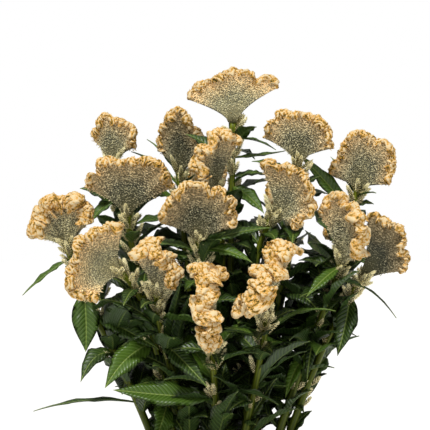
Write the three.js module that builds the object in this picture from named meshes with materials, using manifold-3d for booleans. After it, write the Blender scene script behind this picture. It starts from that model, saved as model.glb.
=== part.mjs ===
// A potted cockscomb celosia: a terracotta pot of soil, and leafy stems that each carry a crest,
// the folded fan of florets. Millimetres, Z up. The pot stands on z = 0 around the Z axis, and
// the plant's front looks along -Y.
import * as THREE from 'three';
import { mergeVertices } from 'three/addons/utils/BufferGeometryUtils.js';
import Module from 'manifold-3d';

const wasm = await Module();
wasm.setup();

// Clearance between neighbouring pieces
const GAP = 0.3;

const POT = {
  height: 150,
  rimRadius: 95,
  footRadius: 64,
  wall: 6,
  floor: 9,
  collarHeight: 30,
  collarFlare: 1.2,
  underCollar: 4.8,
  sides: 28,
  drains: 3,
  drainRadius: 5,
  drainRing: 34,
  drainSides: 12,
};

const SOIL = {
  top: 138,
  crown: 3,
  crumb: 1.6,
  rings: 3,
  holeDepth: 20,
};

// Roots stand on a small plan of the crests, drawn in most for the highest ones. The pulls are
// the shares of its length that a stem keeps the direction of its ends for
const STEM = {
  highSpread: 0.36,
  lowSpread: 0.5,
  highest: 480,
  upright: 0.35,
  rootPull: 0.36,
  neckPull: 0.22,
  rootRadius: 4.1,
  neckRadius: 2.7,
  sides: 5,
  segments: 5,
};

const CREST = {
  footHalf: 4.5,
  rimHalf: 1.6,
  thinning: 0.7,
  raySpread: 1.5,
  rayRise: 0.9,
  offsetBlend: 3,
  pleatPitch: 15,
  scallop: 0.025,
  lobe: 0.04,
  lobeRate: 8,
  slowFold: 3.5,
  slowRate: 4,
  relief: 0.4,
};

// Rows of a crest from its foot (0) to its rim (1), and how much of the pleat each one shows
const CREST_ROWS = [
  { reach: 0, pleat: 0 },
  { reach: 0.42, pleat: 0.05 },
  { reach: 0.8, pleat: 0.4 },
  { reach: 1, pleat: 1 },
];

// Leaves sit along each stem at this pitch, a golden angle apart, longer below than above
const LEAF = {
  pitch: 28,
  firstAt: 24,
  lastAt: 26,
  longest: 90,
  shortest: 46,
  slenderness: 0.36,
  leastSize: 0.85,
  sizeRange: 0.3,
  lowestClimb: 0,
  climbRange: 45,
  rollRange: 60,
  arch: 0.2,
  seenStations: [0.22, 0.5, 0.78],
  ruledStations: [0.3, 0.66],
  thickness: 1.3,
  petiole: 1.3,
  belly: 0.85,
  keel: 0.22,
  clearance: 0.4,
};

const SPIKE = {
  places: [0.85, 0.95],
  profile: [[0, 0], [0.35, 1], [0.75, 0.7], [1, 0]],
  lift: 0.75,
  shortest: 12,
  longest: 19,
  radius: 2.7,
  sides: 4,
};

// The bush leaves room above the pot: leaf tips stay within this plan radius at a height
const BUSH = {
  lowRadius: 74,
  lowHeight: 165,
  fullRadius: 138,
  fullHeight: 280,
};

const GOLDEN_ANGLE = THREE.MathUtils.degToRad(137.5);

// What a ruler finds on each crest: pleat depth, half the angle that its rim sweeps, the foot on
// its stem, the top of the fan and its widest points to the left and right
function crest(name, pleat, sweep, foot, top, left, right) {
  return { name, pleat, sweep: THREE.MathUtils.degToRad(sweep), foot, top, left, right };
}

const CRESTS = [
  crest('top', 4, 82, [11, 20, 477], [11, 20, 530], [-38, 26, 497], [58, 14, 509]),
  crest('upper_right', 5, 100, [76, 0, 440], [76, -8, 490], [40, 10, 468], [113, -14, 458]),
  crest('right', 5, 100, [137, 10, 412], [147, 4, 469], [108, 18, 431], [173, -2, 423]),
  crest('upper_left', 4, 104, [-111, 40, 438], [-111, 38, 485], [-133, 46, 464], [-85, 34, 458]),
  crest('back_left', 4, 104, [-43, 55, 425], [-43, 52, 489], [-67, 60, 456], [-19, 46, 448]),
  crest('inner_left', 5, 104, [-6, -8, 411], [-18, -38, 459], [-25, -26, 424], [16, -16, 469]),
  crest('left', 4, 98, [-93, -22, 388], [-94, -38, 446], [-137, -28, 420], [-45, -30, 420]),
  crest('centre', 4, 104, [-22, -58, 368], [-22, -78, 423], [-62, -66, 390], [17, -64, 390]),
  crest('inner_right', 5, 104, [54, -20, 388], [86, -48, 419], [40, -28, 442], [77, -42, 377]),
  crest('far_left', 5, 104, [-153, -12, 354], [-162, -28, 411], [-196, -18, 371], [-128, -30, 390]),
  crest('low_left', 5, 104, [-102, -62, 335], [-145, -96, 356], [-131, -88, 308], [-97, -82, 385]),
  crest('low_inner_left', 8, 104, [-63, -78, 317], [-58, -104, 364], [-84, -92, 363], [-42, -98, 328]),
  crest('front', 11, 104, [-10, -98, 267], [-14, -150, 320], [-10, -130, 271], [-14, -116, 353]),
  crest('front_right', 11, 104, [40, -92, 296], [30, -138, 348], [11, -128, 311], [64, -100, 371]),
  crest('low_right', 5, 104, [117, -32, 342], [128, -66, 401], [99, -30, 400], [139, -58, 354]),
  crest('far_right', 4, 104, [140, -14, 323], [178, -20, 373], [149, -4, 385], [183, -16, 333]),
  crest('rear_centre', 5, 104, [-16, 92, 391], [-16, 108, 445], [-35, 100, 418], [5, 96, 418]),
  crest('rear_left', 4, 98, [-98, 80, 375], [-101, 100, 428], [-136, 84, 406], [-61, 92, 403]),
  crest('rear_right', 5, 104, [130, 78, 335], [131, 96, 387], [107, 82, 364], [151, 84, 362]),
  crest('rear_far_left', 5, 104, [-127, 72, 300], [-137, 94, 355], [-158, 76, 329], [-107, 86, 328]),
  crest('rear_mid_left', 5, 104, [-36, 112, 351], [-32, 136, 398], [-57, 122, 378], [7, 124, 377]),
  crest('rear_mid_right', 5, 100, [72, 92, 363], [68, 116, 419], [47, 102, 394], [95, 100, 390]),
  crest('rear_low', 6, 104, [-2, 104, 236], [-7, 142, 278], [-26, 122, 255], [15, 122, 255]),
];

// A leaf that the photo shows: its stem, how far up it grows, its tip, width, arch and the roll
// that turns its upper face to the front
function seenLeaf(stem, at, tip, width, arch, roll) {
  return { stem, at, tip, width, arch, roll: THREE.MathUtils.degToRad(roll) };
}

const SEEN_LEAVES = [
  seenLeaf('far_left', 0.93, [-198, -22, 307], 13, 6, 10),
  seenLeaf('far_left', 0.24, [-189, -14, 189], 11, 12, 10),
  seenLeaf('far_left', 0.44, [-140, -34, 222], 22, 22, 20),
  seenLeaf('far_left', 0.74, [-136, -16, 249], 28, 2, 10),
  seenLeaf('far_left', 0.62, [-61, -58, 258], 20, 8, 40),
  seenLeaf('back_left', 0.96, [-78, 84, 457], 9, 8, 0),
  seenLeaf('back_left', 0.92, [-93, 50, 446], 12, 9, 20),
  seenLeaf('top', 0.93, [54, 4, 450], 11, 9, 0),
  seenLeaf('top', 0.86, [64, 24, 448], 9, -2, 20),
  seenLeaf('top', 0.79, [47, 30, 423], 12, 4, 20),
  seenLeaf('top', 0.76, [42, -6, 387], 17, 7, 30),
  seenLeaf('right', 0.87, [77, 6, 446], 18, -3, 60),
  seenLeaf('right', 0.96, [98, 30, 443], 10, 2, 20),
  seenLeaf('right', 0.94, [153, -12, 408], 8, 6, 0),
  seenLeaf('far_right', 0.95, [174, -14, 283], 7, 10, 0),
  seenLeaf('far_right', 0.86, [114, -34, 248], 25, 4, 10),
  seenLeaf('upper_left', 0.83, [-135, 28, 373], 14, 6, 30),
  seenLeaf('centre', 0.96, [48, -52, 377], 16, 9, 30),
  seenLeaf('centre', 0.93, [29, -70, 345], 17, 6, 30),
  seenLeaf('centre', 0.9, [-68, -60, 361], 14, 7, 20),
  seenLeaf('front_right', 0.82, [110, -62, 297], 11, 17, 10),
  seenLeaf('front_right', 0.78, [2, -100, 286], 9, 6, 20),
  seenLeaf('front_right', 0.74, [-1, -84, 257], 7, -2, 20),
  seenLeaf('front_right', 0.7, [47, -112, 265], 13, 8, 40),
  seenLeaf('front_right', 0.24, [53, -66, 232], 18, 2, 60),
  seenLeaf('low_right', 0.95, [81, -66, 311], 15, 9, 20),
  seenLeaf('low_right', 0.62, [83, -52, 227], 12, 4, 10),
  seenLeaf('low_right', 0.48, [62, -52, 210], 15, 6, 10),
  seenLeaf('front', 0.5, [-105, -92, 225], 28, 4, 45),
  seenLeaf('low_inner_left', 0.64, [-14, -112, 231], 21, 12, 30),
  seenLeaf('low_inner_left', 0.55, [-46, -92, 333], 15, 0, 15),
  seenLeaf('low_inner_left', 0.5, [-31, -82, 316], 20, 0, 15),
  seenLeaf('low_left', 0.52, [-113, -84, 225], 26, 10, 40),
  seenLeaf('low_left', 0.26, [-64, -70, 172], 28, 8, 50),
];

// A leaf that would cross another node is turned about its stem, raised or shortened until clear
const LEAF_TRIES = [
  { turn: 0, raise: 0, size: 1 },
  { turn: 12, raise: 0, size: 1 },
  { turn: -12, raise: 0, size: 1 },
  { turn: 0, raise: 12, size: 0.95 },
  { turn: 0, raise: -12, size: 0.95 },
  { turn: 25, raise: 0, size: 0.95 },
  { turn: -25, raise: 0, size: 0.95 },
  { turn: 20, raise: 14, size: 0.85 },
  { turn: -20, raise: 14, size: 0.85 },
  { turn: 40, raise: 0, size: 0.8 },
  { turn: -40, raise: 0, size: 0.8 },
  { turn: 0, raise: 25, size: 0.7 },
  { turn: 60, raise: 10, size: 0.7 },
  { turn: -60, raise: 10, size: 0.7 },
  { turn: 90, raise: 10, size: 0.6 },
  { turn: -90, raise: 10, size: 0.6 },
];

const MATERIALS = {
  terracotta: new THREE.MeshStandardMaterial({ color: 0xb5653f, roughness: 0.85 }),
  soil: new THREE.MeshStandardMaterial({ color: 0x2c211a, roughness: 1 }),
  leaf: new THREE.MeshStandardMaterial({ color: 0x3a5424, roughness: 0.5 }),
  crest: new THREE.MeshStandardMaterial({ color: 0xecd3a2, roughness: 0.9 }),
};

// What each repeatable draw is for; those of a leaf or a spike add its place on the stem
const DRAWS = {
  crestPhase: 1,
  firstAzimuth: 2,
  leafSize: 10,
  leafClimb: 30,
  leafRoll: 50,
  spikeAzimuth: 70,
  spikeLength: 80,
};

// A repeatable draw between 0 and 1 for item i and use k of it
function draw(i, k) {
  const x = Math.sin(i * 12.9898 + k * 78.233) * 43758.5453;
  return x - Math.floor(x);
}

function point(list) {
  return new THREE.Vector3(list[0], list[1], list[2]);
}

// Indexed geometry from rows of points and lists of corner triples
function geometryFrom(points, triangles) {
  const geometry = new THREE.BufferGeometry();
  const flat = points.flatMap((p) => [p.x, p.y, p.z]);
  geometry.setAttribute('position', new THREE.Float32BufferAttribute(flat, 3));
  geometry.setIndex(triangles.flat());
  return geometry;
}

// Closed three.js geometry to a manifold solid: shared corners merged, flat triangles dropped
function solidFrom(geometry) {
  const bare = geometry.clone();
  bare.deleteAttribute('normal');
  bare.deleteAttribute('uv');
  const merged = mergeVertices(bare, 1e-4);
  const corners = merged.index.array;
  const kept = [];
  for (let i = 0; i < corners.length; i += 3) {
    const [a, b, c] = [corners[i], corners[i + 1], corners[i + 2]];
    if (a !== b && b !== c && c !== a) {
      kept.push(a, b, c);
    }
  }
  const mesh = new wasm.Mesh({
    numProp: 3,
    vertProperties: new Float32Array(merged.attributes.position.array),
    triVerts: new Uint32Array(kept),
  });
  const solid = new wasm.Manifold(mesh);
  if (solid.volume() <= 0) {
    throw new Error('a solid has its faces pointing in');
  }
  return solid;
}

function geometryOf(solid) {
  const mesh = solid.getMesh();
  const geometry = new THREE.BufferGeometry();
  geometry.setAttribute('position', new THREE.BufferAttribute(mesh.vertProperties, 3));
  geometry.setIndex(new THREE.BufferAttribute(mesh.triVerts, 1));
  geometry.computeVertexNormals();
  return geometry;
}

// Round or pointed bar along a line of centres: each station has a centre, a radius and the two
// directions of its section; a radius of 0 makes a point
function barGeometry(stations, sides) {
  const points = [];
  const rings = stations.map((station) => {
    if (station.radius === 0) {
      points.push(station.centre);
      return Array(sides).fill(points.length - 1);
    }
    return Array.from({ length: sides }, (_, k) => {
      const angle = (2 * Math.PI * k) / sides;
      const corner = station.centre.clone();
      corner.addScaledVector(station.across, station.radius * Math.cos(angle));
      corner.addScaledVector(station.over, station.radius * Math.sin(angle));
      points.push(corner);
      return points.length - 1;
    });
  });
  const triangles = [];
  for (let i = 0; i + 1 < rings.length; i += 1) {
    for (let k = 0; k < sides; k += 1) {
      const next = (k + 1) % sides;
      const [a, b, c, d] = [rings[i][k], rings[i][next], rings[i + 1][next], rings[i + 1][k]];
      triangles.push([a, b, c], [a, c, d]);
    }
  }
  for (let k = 1; k + 1 < sides; k += 1) {
    const first = rings[0];
    const last = rings[rings.length - 1];
    triangles.push([first[0], first[k + 1], first[k]], [last[0], last[k], last[k + 1]]);
  }
  return geometryFrom(points, triangles.filter(([a, b, c]) => a !== b && b !== c && c !== a));
}

// Section directions carried along a line of centres without twist
function carriedFrames(centres, tangents) {
  const across = new THREE.Vector3().crossVectors(tangents[0], new THREE.Vector3(0, 1, 0)).normalize();
  return centres.map((centre, i) => {
    across.addScaledVector(tangents[i], -across.dot(tangents[i])).normalize();
    return {
      centre,
      across: across.clone(),
      over: new THREE.Vector3().crossVectors(tangents[i], across),
    };
  });
}

// The frame of a crest: v up its middle, u from left to right across it and n out of its front
function crestFrame(shape, index) {
  const foot = point(shape.foot);
  const v = point(shape.top).sub(foot);
  const height = v.length();
  v.normalize();
  const left = point(shape.left).sub(foot);
  const right = point(shape.right).sub(foot);
  const u = right.clone().sub(left);
  u.addScaledVector(v, -u.dot(v)).normalize();
  const n = new THREE.Vector3().crossVectors(u, v);
  return {
    foot, u, v, n, height,
    pleat: shape.pleat,
    sweep: shape.sweep,
    phase: 2 * Math.PI * draw(index, DRAWS.crestPhase),
    halfWidth: (right.dot(u) - left.dot(u)) / 2,
    offset: (right.dot(u) + left.dot(u)) / 2,
    shoulder: (right.dot(v) + left.dot(v)) / 2,
    skew: (right.dot(v) - left.dot(v)) / 2,
    bowLeft: left.dot(n),
    bowRight: right.dot(n),
  };
}

// Point of a crest's middle sheet at s along the rim (-1 left to 1 right) and r from foot to rim.
// The rim is the ellipse U = (halfWidth + offset tanh(blend s)) sin t, V = shoulder
// + (height - shoulder) cos t + skew sin t with t = s sweep, its radius waves by a few lobes, and
// the rays to it fan out of the foot. The sheet bows as r^2 and folds slowly along s
function crestSheet(frame, s, r, scallop) {
  const t = s * frame.sweep;
  const rimScale = 1 + scallop + CREST.lobe * Math.sin(CREST.lobeRate * s + frame.phase);
  const rimU = (frame.halfWidth + frame.offset * Math.tanh(CREST.offsetBlend * s)) * Math.sin(t);
  const rimV = frame.shoulder + (frame.height - frame.shoulder) * Math.cos(t) + frame.skew * Math.sin(t);
  const footU = CREST.footHalf * s;
  const bow = (s < 0 ? frame.bowLeft : frame.bowRight) * s * s;
  const slow = CREST.slowFold * Math.sin(CREST.slowRate * s + frame.phase);
  return {
    u: footU + (rimU * rimScale - footU) * r ** CREST.raySpread,
    v: rimV * rimScale * r ** CREST.rayRise,
    n: (bow + slow) * r * r,
  };
}

// Length of the rim, which sets how many pleats it has
function rimLength(frame) {
  const steps = 24;
  let length = 0;
  let last = crestSheet(frame, -1, 1, 0);
  for (let i = 1; i <= steps; i += 1) {
    const next = crestSheet(frame, (2 * i) / steps - 1, 1, 0);
    length += Math.hypot(next.u - last.u, next.v - last.v);
    last = next;
  }
  return length;
}

// Crest: the same net of corners in front of and behind the middle sheet, closed along its edges
function crestGeometry(frame) {
  const pleats = Math.round(rimLength(frame) / CREST.pleatPitch);
  const columns = 2 * pleats + 1;
  const rows = CREST_ROWS.length;
  const points = [];
  for (const side of [1, -1]) {
    for (let i = 0; i < columns; i += 1) {
      const s = (2 * i) / (columns - 1) - 1;
      const fold = i % 2 === 0 ? -1 : 1;
      CREST_ROWS.forEach((row, j) => {
        const r = row.reach;
        const sheet = crestSheet(frame, s, r, CREST.scallop * fold * row.pleat);
        const floret = j === 0 || j === rows - 1 ? 0 : CREST.relief * ((i + j) % 2 === 0 ? 1 : -1);
        const half = THREE.MathUtils.lerp(CREST.footHalf, CREST.rimHalf, r ** CREST.thinning) + floret;
        const corner = frame.foot.clone();
        corner.addScaledVector(frame.u, sheet.u);
        corner.addScaledVector(frame.v, sheet.v);
        corner.addScaledVector(frame.n, sheet.n + fold * frame.pleat * row.pleat + side * half);
        points.push(corner);
      });
    }
  }
  const front = (i, j) => i * rows + j;
  const back = (i, j) => (columns + i) * rows + j;
  const triangles = [];
  for (let i = 0; i + 1 < columns; i += 1) {
    for (let j = 0; j + 1 < rows; j += 1) {
      triangles.push([front(i, j), front(i + 1, j), front(i + 1, j + 1)]);
      triangles.push([front(i, j), front(i + 1, j + 1), front(i, j + 1)]);
      triangles.push([back(i, j), back(i + 1, j + 1), back(i + 1, j)]);
      triangles.push([back(i, j), back(i, j + 1), back(i + 1, j + 1)]);
    }
    const top = rows - 1;
    triangles.push([front(i, top), front(i + 1, top), back(i + 1, top)]);
    triangles.push([front(i, top), back(i + 1, top), back(i, top)]);
    triangles.push([front(i, 0), back(i + 1, 0), front(i + 1, 0)]);
    triangles.push([front(i, 0), back(i, 0), back(i + 1, 0)]);
  }
  const last = columns - 1;
  for (let j = 0; j + 1 < rows; j += 1) {
    triangles.push([front(0, j), front(0, j + 1), back(0, j + 1)]);
    triangles.push([front(0, j), back(0, j + 1), back(0, j)]);
    triangles.push([front(last, j), back(last, j + 1), front(last, j + 1)]);
    triangles.push([front(last, j), back(last, j), back(last, j + 1)]);
  }
  return geometryFrom(points, triangles);
}

// Small flower spike from a base point along a direction
function spikeGeometry(base, direction, length) {
  const along = direction.clone().normalize();
  const across = new THREE.Vector3().crossVectors(along, new THREE.Vector3(0.3, 0.2, 1)).normalize();
  const over = new THREE.Vector3().crossVectors(along, across);
  const stations = SPIKE.profile.map(([t, width]) => ({
    centre: base.clone().addScaledVector(along, t * length),
    radius: width * SPIKE.radius,
    across,
    over,
  }));
  return barGeometry(stations, SPIKE.sides);
}

// Centre line of a stem: it leaves the soil between the other roots and meets the crest's foot
// along the crest's own axis
function stemCurve(frame) {
  const end = frame.foot.clone().addScaledVector(frame.v, -GAP);
  const rise = (end.z - SOIL.top) / (STEM.highest - SOIL.top);
  const spread = THREE.MathUtils.lerp(STEM.lowSpread, STEM.highSpread, rise);
  const root = new THREE.Vector3(end.x * spread, end.y * spread, SOIL.top);
  const length = end.distanceTo(root);
  const lean = end.clone().sub(root).normalize();
  lean.z += STEM.upright;
  lean.normalize();
  return new THREE.CubicBezierCurve3(
    root,
    root.clone().addScaledVector(lean, length * STEM.rootPull),
    end.clone().addScaledVector(frame.v, -length * STEM.neckPull),
    end,
  );
}

// Stations of a stem from the bottom of its buried part to the crest, widened for its hole
function stemStations(curve, extra) {
  const start = curve.getTangent(0);
  const buried = curve.getPoint(0).addScaledVector(start, -(SOIL.holeDepth + extra) / start.z);
  const centres = [buried];
  const tangents = [start];
  for (let i = 1; i <= STEM.segments; i += 1) {
    centres.push(curve.getPoint(i / STEM.segments));
    tangents.push(curve.getTangent(i / STEM.segments));
  }
  return carriedFrames(centres, tangents).map((frame, i) => ({
    ...frame,
    radius: THREE.MathUtils.lerp(STEM.rootRadius, STEM.neckRadius, i / STEM.segments) + extra,
  }));
}

// Leaf: a keeled blade with a diamond section along a quadratic curve from base to tip
function leafGeometry(leaf, extra) {
  const { base, tip, width, arch, roll, stations } = leaf;
  const middle = base.clone().lerp(tip, 0.5);
  middle.z += arch;
  const curve = new THREE.QuadraticBezierCurve3(base, middle, tip);
  const up = new THREE.Vector3(0, 0, 1);
  const points = [base.clone()];
  stations.forEach((t) => {
    const along = curve.getTangent(t);
    const side = new THREE.Vector3().crossVectors(along, up).normalize();
    const face = new THREE.Vector3().crossVectors(side, along);
    side.applyAxisAngle(along, roll);
    face.applyAxisAngle(along, roll);
    const half = (width / 2) * Math.sin(Math.PI * t ** LEAF.belly) + LEAF.petiole / 2 + extra;
    const thick = LEAF.thickness / 2 + extra;
    const centre = curve.getPoint(t);
    const edge = half * LEAF.keel;
    points.push(centre.clone().addScaledVector(side, -half).addScaledVector(face, edge));
    points.push(centre.clone().addScaledVector(face, thick));
    points.push(centre.clone().addScaledVector(side, half).addScaledVector(face, edge));
    points.push(centre.clone().addScaledVector(face, -thick));
  });
  points.push(tip.clone().addScaledVector(curve.getTangent(1), extra));
  const triangles = [];
  const corner = (i, k) => 1 + i * 4 + (k % 4);
  for (let k = 0; k < 4; k += 1) {
    triangles.push([0, corner(0, k + 1), corner(0, k)]);
    for (let i = 0; i + 1 < stations.length; i += 1) {
      triangles.push([corner(i, k), corner(i + 1, k + 1), corner(i + 1, k)]);
      triangles.push([corner(i, k), corner(i, k + 1), corner(i + 1, k + 1)]);
    }
    triangles.push([corner(stations.length - 1, k), corner(stations.length - 1, k + 1), points.length - 1]);
  }
  return geometryFrom(points, triangles);
}

// Leaf that the rule puts on stem number index as its k-th, at a distance along the stem
function ruledLeaf(index, k, distance, length) {
  const t = distance / length;
  const share = LEAF.leastSize + LEAF.sizeRange * draw(index, k + DRAWS.leafSize);
  const size = THREE.MathUtils.lerp(LEAF.longest, LEAF.shortest, t) * share;
  const azimuth = k * GOLDEN_ANGLE + 2 * Math.PI * draw(index, DRAWS.firstAzimuth);
  const lift = LEAF.lowestClimb + LEAF.climbRange * draw(index, k + DRAWS.leafClimb);
  const climb = THREE.MathUtils.degToRad(lift);
  const reach = new THREE.Vector3(
    size * Math.cos(azimuth) * Math.cos(climb),
    size * Math.sin(azimuth) * Math.cos(climb),
    size * Math.sin(climb),
  );
  return {
    at: t,
    reach,
    width: size * LEAF.slenderness,
    arch: size * LEAF.arch,
    roll: THREE.MathUtils.degToRad(LEAF.rollRange * (draw(index, k + DRAWS.leafRoll) - 0.5)),
  };
}

function seenLeaves(plant) {
  return SEEN_LEAVES.filter((leaf) => leaf.stem === plant.name).map((leaf) => {
    const reach = point(leaf.tip).sub(plant.curve.getPoint(leaf.at));
    return { ...leaf, reach, roll: leaf.roll * Math.sign(reach.x), seen: true };
  });
}

function ruledLeaves(plant) {
  const length = plant.curve.getLength();
  const leaves = [];
  for (let d = LEAF.firstAt; d <= length - LEAF.lastAt; d += LEAF.pitch) {
    leaves.push(ruledLeaf(plant.index, leaves.length, d, length));
  }
  return leaves;
}

// The leaf as one of the tries has it: its reach turned about Z, raised and resized
function triedLeaf(leaf, base, attempt) {
  const reach = leaf.reach.clone().multiplyScalar(attempt.size);
  const level = Math.hypot(reach.x, reach.y);
  const climb = Math.atan2(reach.z, level) + THREE.MathUtils.degToRad(attempt.raise);
  const azimuth = Math.atan2(reach.y, reach.x) + THREE.MathUtils.degToRad(attempt.turn);
  const length = reach.length();
  const tip = base.clone().add(new THREE.Vector3(
    length * Math.cos(climb) * Math.cos(azimuth),
    length * Math.cos(climb) * Math.sin(azimuth),
    length * Math.sin(climb),
  ));
  return {
    base,
    tip,
    width: leaf.width * attempt.size,
    arch: leaf.arch * attempt.size,
    roll: leaf.roll,
    stations: leaf.seen ? LEAF.seenStations : LEAF.ruledStations,
  };
}

function insideBush(tip) {
  const rise = (tip.z - BUSH.lowHeight) / (BUSH.fullHeight - BUSH.lowHeight);
  const radius = THREE.MathUtils.lerp(BUSH.lowRadius, BUSH.fullRadius, THREE.MathUtils.clamp(rise, 0, 1));
  return Math.hypot(tip.x, tip.y) <= radius;
}

// Solids already placed, each with its node's name and its box for a quick first test
const placed = [];

function place(node, solid) {
  placed.push({ node, solid, box: solid.boundingBox() });
}

function boxesMeet(a, b) {
  return [0, 1, 2].every((k) => a.min[k] <= b.max[k] && b.min[k] <= a.max[k]);
}

// Whether a solid keeps off every other node
function isClear(node, solid) {
  const box = solid.boundingBox();
  return placed.every((other) => other.node === node
    || !boxesMeet(box, other.box)
    || other.solid.intersect(solid).isEmpty());
}

// The first try of a leaf that stays in the bush and off the other nodes, or null
function fittedLeaf(node, leaf, base) {
  for (const attempt of LEAF_TRIES) {
    const tried = triedLeaf(leaf, base, attempt);
    const fits = leaf.seen || insideBush(tried.tip);
    if (fits && isClear(node, solidFrom(leafGeometry(tried, LEAF.clearance)))) {
      return solidFrom(leafGeometry(tried, 0));
    }
  }
  return null;
}

// Flower spikes beside the crest's foot, where they stay clear of the crest and the other nodes
function fittedSpikes(node, index, curve) {
  const spikes = [];
  SPIKE.places.forEach((t, k) => {
    const azimuth = 2 * Math.PI * draw(index, k + DRAWS.spikeAzimuth);
    const outward = new THREE.Vector3(Math.cos(azimuth), Math.sin(azimuth), 0);
    const direction = curve.getTangent(t).multiplyScalar(SPIKE.lift).add(outward);
    const share = draw(index, k + DRAWS.spikeLength);
    const length = THREE.MathUtils.lerp(SPIKE.shortest, SPIKE.longest, share);
    const spike = solidFrom(spikeGeometry(curve.getPoint(t), direction, length));
    if (isClear(node, spike)) {
      place(node, spike);
      spikes.push(spike);
    }
  });
  return spikes;
}

// Inside radius of the pot, whose wall tapers from the rim to the floor
function potInnerRadius(z) {
  const rise = (z - POT.floor) / (POT.height - POT.floor);
  return THREE.MathUtils.lerp(POT.footRadius, POT.rimRadius, rise) - POT.wall;
}

// Closed solid turned round the Z axis from a profile of radius and height pairs
function turnedSolid(profile, shapeCorner) {
  const turned = new THREE.LatheGeometry(profile.map(([r, z]) => new THREE.Vector2(r, z)), POT.sides);
  turned.rotateX(Math.PI / 2);
  const position = turned.attributes.position;
  for (let i = 0; i < position.count; i += 1) {
    const side = Math.floor(i / profile.length) % POT.sides;
    position.setZ(i, position.getZ(i) + shapeCorner(side, i % profile.length));
  }
  return solidFrom(turned);
}

// Pot: a turned wall with a thicker collar, and drain holes round the middle of its floor
function potSolid() {
  const collarFoot = POT.height - POT.collarHeight;
  const profile = [
    [0, 0],
    [POT.footRadius, 0],
    [POT.rimRadius - POT.underCollar, collarFoot],
    [POT.rimRadius - POT.collarFlare, collarFoot],
    [POT.rimRadius, POT.height],
    [potInnerRadius(POT.height), POT.height],
    [potInnerRadius(POT.floor), POT.floor],
    [0, POT.floor],
  ];
  let solid = turnedSolid(profile, () => 0);
  for (let k = 0; k < POT.drains; k += 1) {
    const depth = 3 * POT.floor;
    const hole = new THREE.CylinderGeometry(POT.drainRadius, POT.drainRadius, depth, POT.drainSides);
    hole.rotateX(Math.PI / 2);
    const angle = (2 * Math.PI * k) / POT.drains;
    hole.translate(POT.drainRing * Math.cos(angle), POT.drainRing * Math.sin(angle), 0);
    solid = solid.subtract(solidFrom(hole));
  }
  return solid;
}

// Soil: it fills the pot to its top, crowned and crumbled, before the stem holes are cut
function soilSolid() {
  const bottom = POT.floor + GAP;
  const edge = potInnerRadius(SOIL.top) - GAP;
  const profile = [[0, bottom], [potInnerRadius(bottom) - GAP, bottom], [edge, SOIL.top]];
  for (let ring = SOIL.rings - 1; ring >= 0; ring -= 1) {
    const reach = ring / SOIL.rings;
    profile.push([edge * reach, SOIL.top + SOIL.crown * (1 - reach * reach)]);
  }
  const lastCorner = profile.length - 1;
  const crumble = (side, corner) => (corner > 2 && corner < lastCorner
    ? SOIL.crumb * (2 * draw(side, corner) - 1)
    : 0);
  return turnedSolid(profile, crumble);
}

// Assembly: crests and bare stems stand first, then the leaves are fitted between them
const pot = potSolid();
let soil = soilSolid();
place('pot', pot);
place('soil', soil);

const plants = CRESTS.map((shape, index) => {
  const frame = crestFrame(shape, index);
  const curve = stemCurve(frame);
  const bar = solidFrom(barGeometry(stemStations(curve, 0), STEM.sides));
  return { name: shape.name, stemName: `stem_${shape.name}`, index, frame, curve, bar, pieces: [bar] };
});

for (const plant of plants) {
  plant.crest = solidFrom(crestGeometry(plant.frame));
  place(`crest_${plant.name}`, plant.crest);
  place(plant.stemName, plant.bar);
  soil = soil.subtract(solidFrom(barGeometry(stemStations(plant.curve, GAP), STEM.sides)));
}

function growLeaves(plant, leaves) {
  for (const leaf of leaves) {
    const solid = fittedLeaf(plant.stemName, leaf, plant.curve.getPoint(leaf.at));
    if (solid) {
      place(plant.stemName, solid);
      plant.pieces.push(solid);
    }
  }
}

for (const plant of plants) {
  growLeaves(plant, seenLeaves(plant));
}
for (const plant of plants) {
  plant.pieces.push(...fittedSpikes(plant.stemName, plant.index, plant.curve));
}
for (const plant of plants) {
  growLeaves(plant, ruledLeaves(plant));
}

const group = new THREE.Group();

function addMesh(name, solid, material) {
  const mesh = new THREE.Mesh(geometryOf(solid), material);
  mesh.name = name;
  group.add(mesh);
}

addMesh('pot', pot, MATERIALS.terracotta);
addMesh('soil', soil, MATERIALS.soil);
for (const plant of plants) {
  addMesh(plant.stemName, plant.pieces.reduce((whole, piece) => whole.add(piece)), MATERIALS.leaf);
  addMesh(`crest_${plant.name}`, plant.crest, MATERIALS.crest);
}

export default group;
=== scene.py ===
# %% [markdown]
# # A potted cockscomb celosia
#
# The plant is a bush of leafy stems in a clay pot. Each stem ends in a crest: a flat fan whose
# rim grew faster than the rest and so had to fold into a ruffle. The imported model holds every
# piece at its real size as a plain solid. This lesson puts a finer surface over each one, and
# each surface is worked out from the same few measures that the solids were made from.

# %% The frame
import math

import bpy
import numpy as np
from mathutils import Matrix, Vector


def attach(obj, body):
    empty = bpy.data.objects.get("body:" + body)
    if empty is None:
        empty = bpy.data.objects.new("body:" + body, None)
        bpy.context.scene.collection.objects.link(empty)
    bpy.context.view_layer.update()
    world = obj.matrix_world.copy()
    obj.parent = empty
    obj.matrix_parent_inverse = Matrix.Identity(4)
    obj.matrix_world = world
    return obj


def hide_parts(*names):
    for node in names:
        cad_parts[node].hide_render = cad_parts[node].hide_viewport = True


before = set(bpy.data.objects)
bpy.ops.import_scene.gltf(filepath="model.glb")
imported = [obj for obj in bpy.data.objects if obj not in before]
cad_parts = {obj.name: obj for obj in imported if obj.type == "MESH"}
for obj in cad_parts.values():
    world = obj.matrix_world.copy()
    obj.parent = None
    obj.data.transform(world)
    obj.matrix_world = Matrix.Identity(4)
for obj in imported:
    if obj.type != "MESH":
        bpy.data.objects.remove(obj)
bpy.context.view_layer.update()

MM = 0.001
# Seeds of the random draws. Plant i adds i to the ones of the crests, the leaves and the spikes
SEEDS = {"folds": 7, "bubbles": 8, "soil": 7, "crests": 100, "leaves": 500, "spikes": 900}
print("nodes in the frame:", len(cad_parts))

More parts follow.
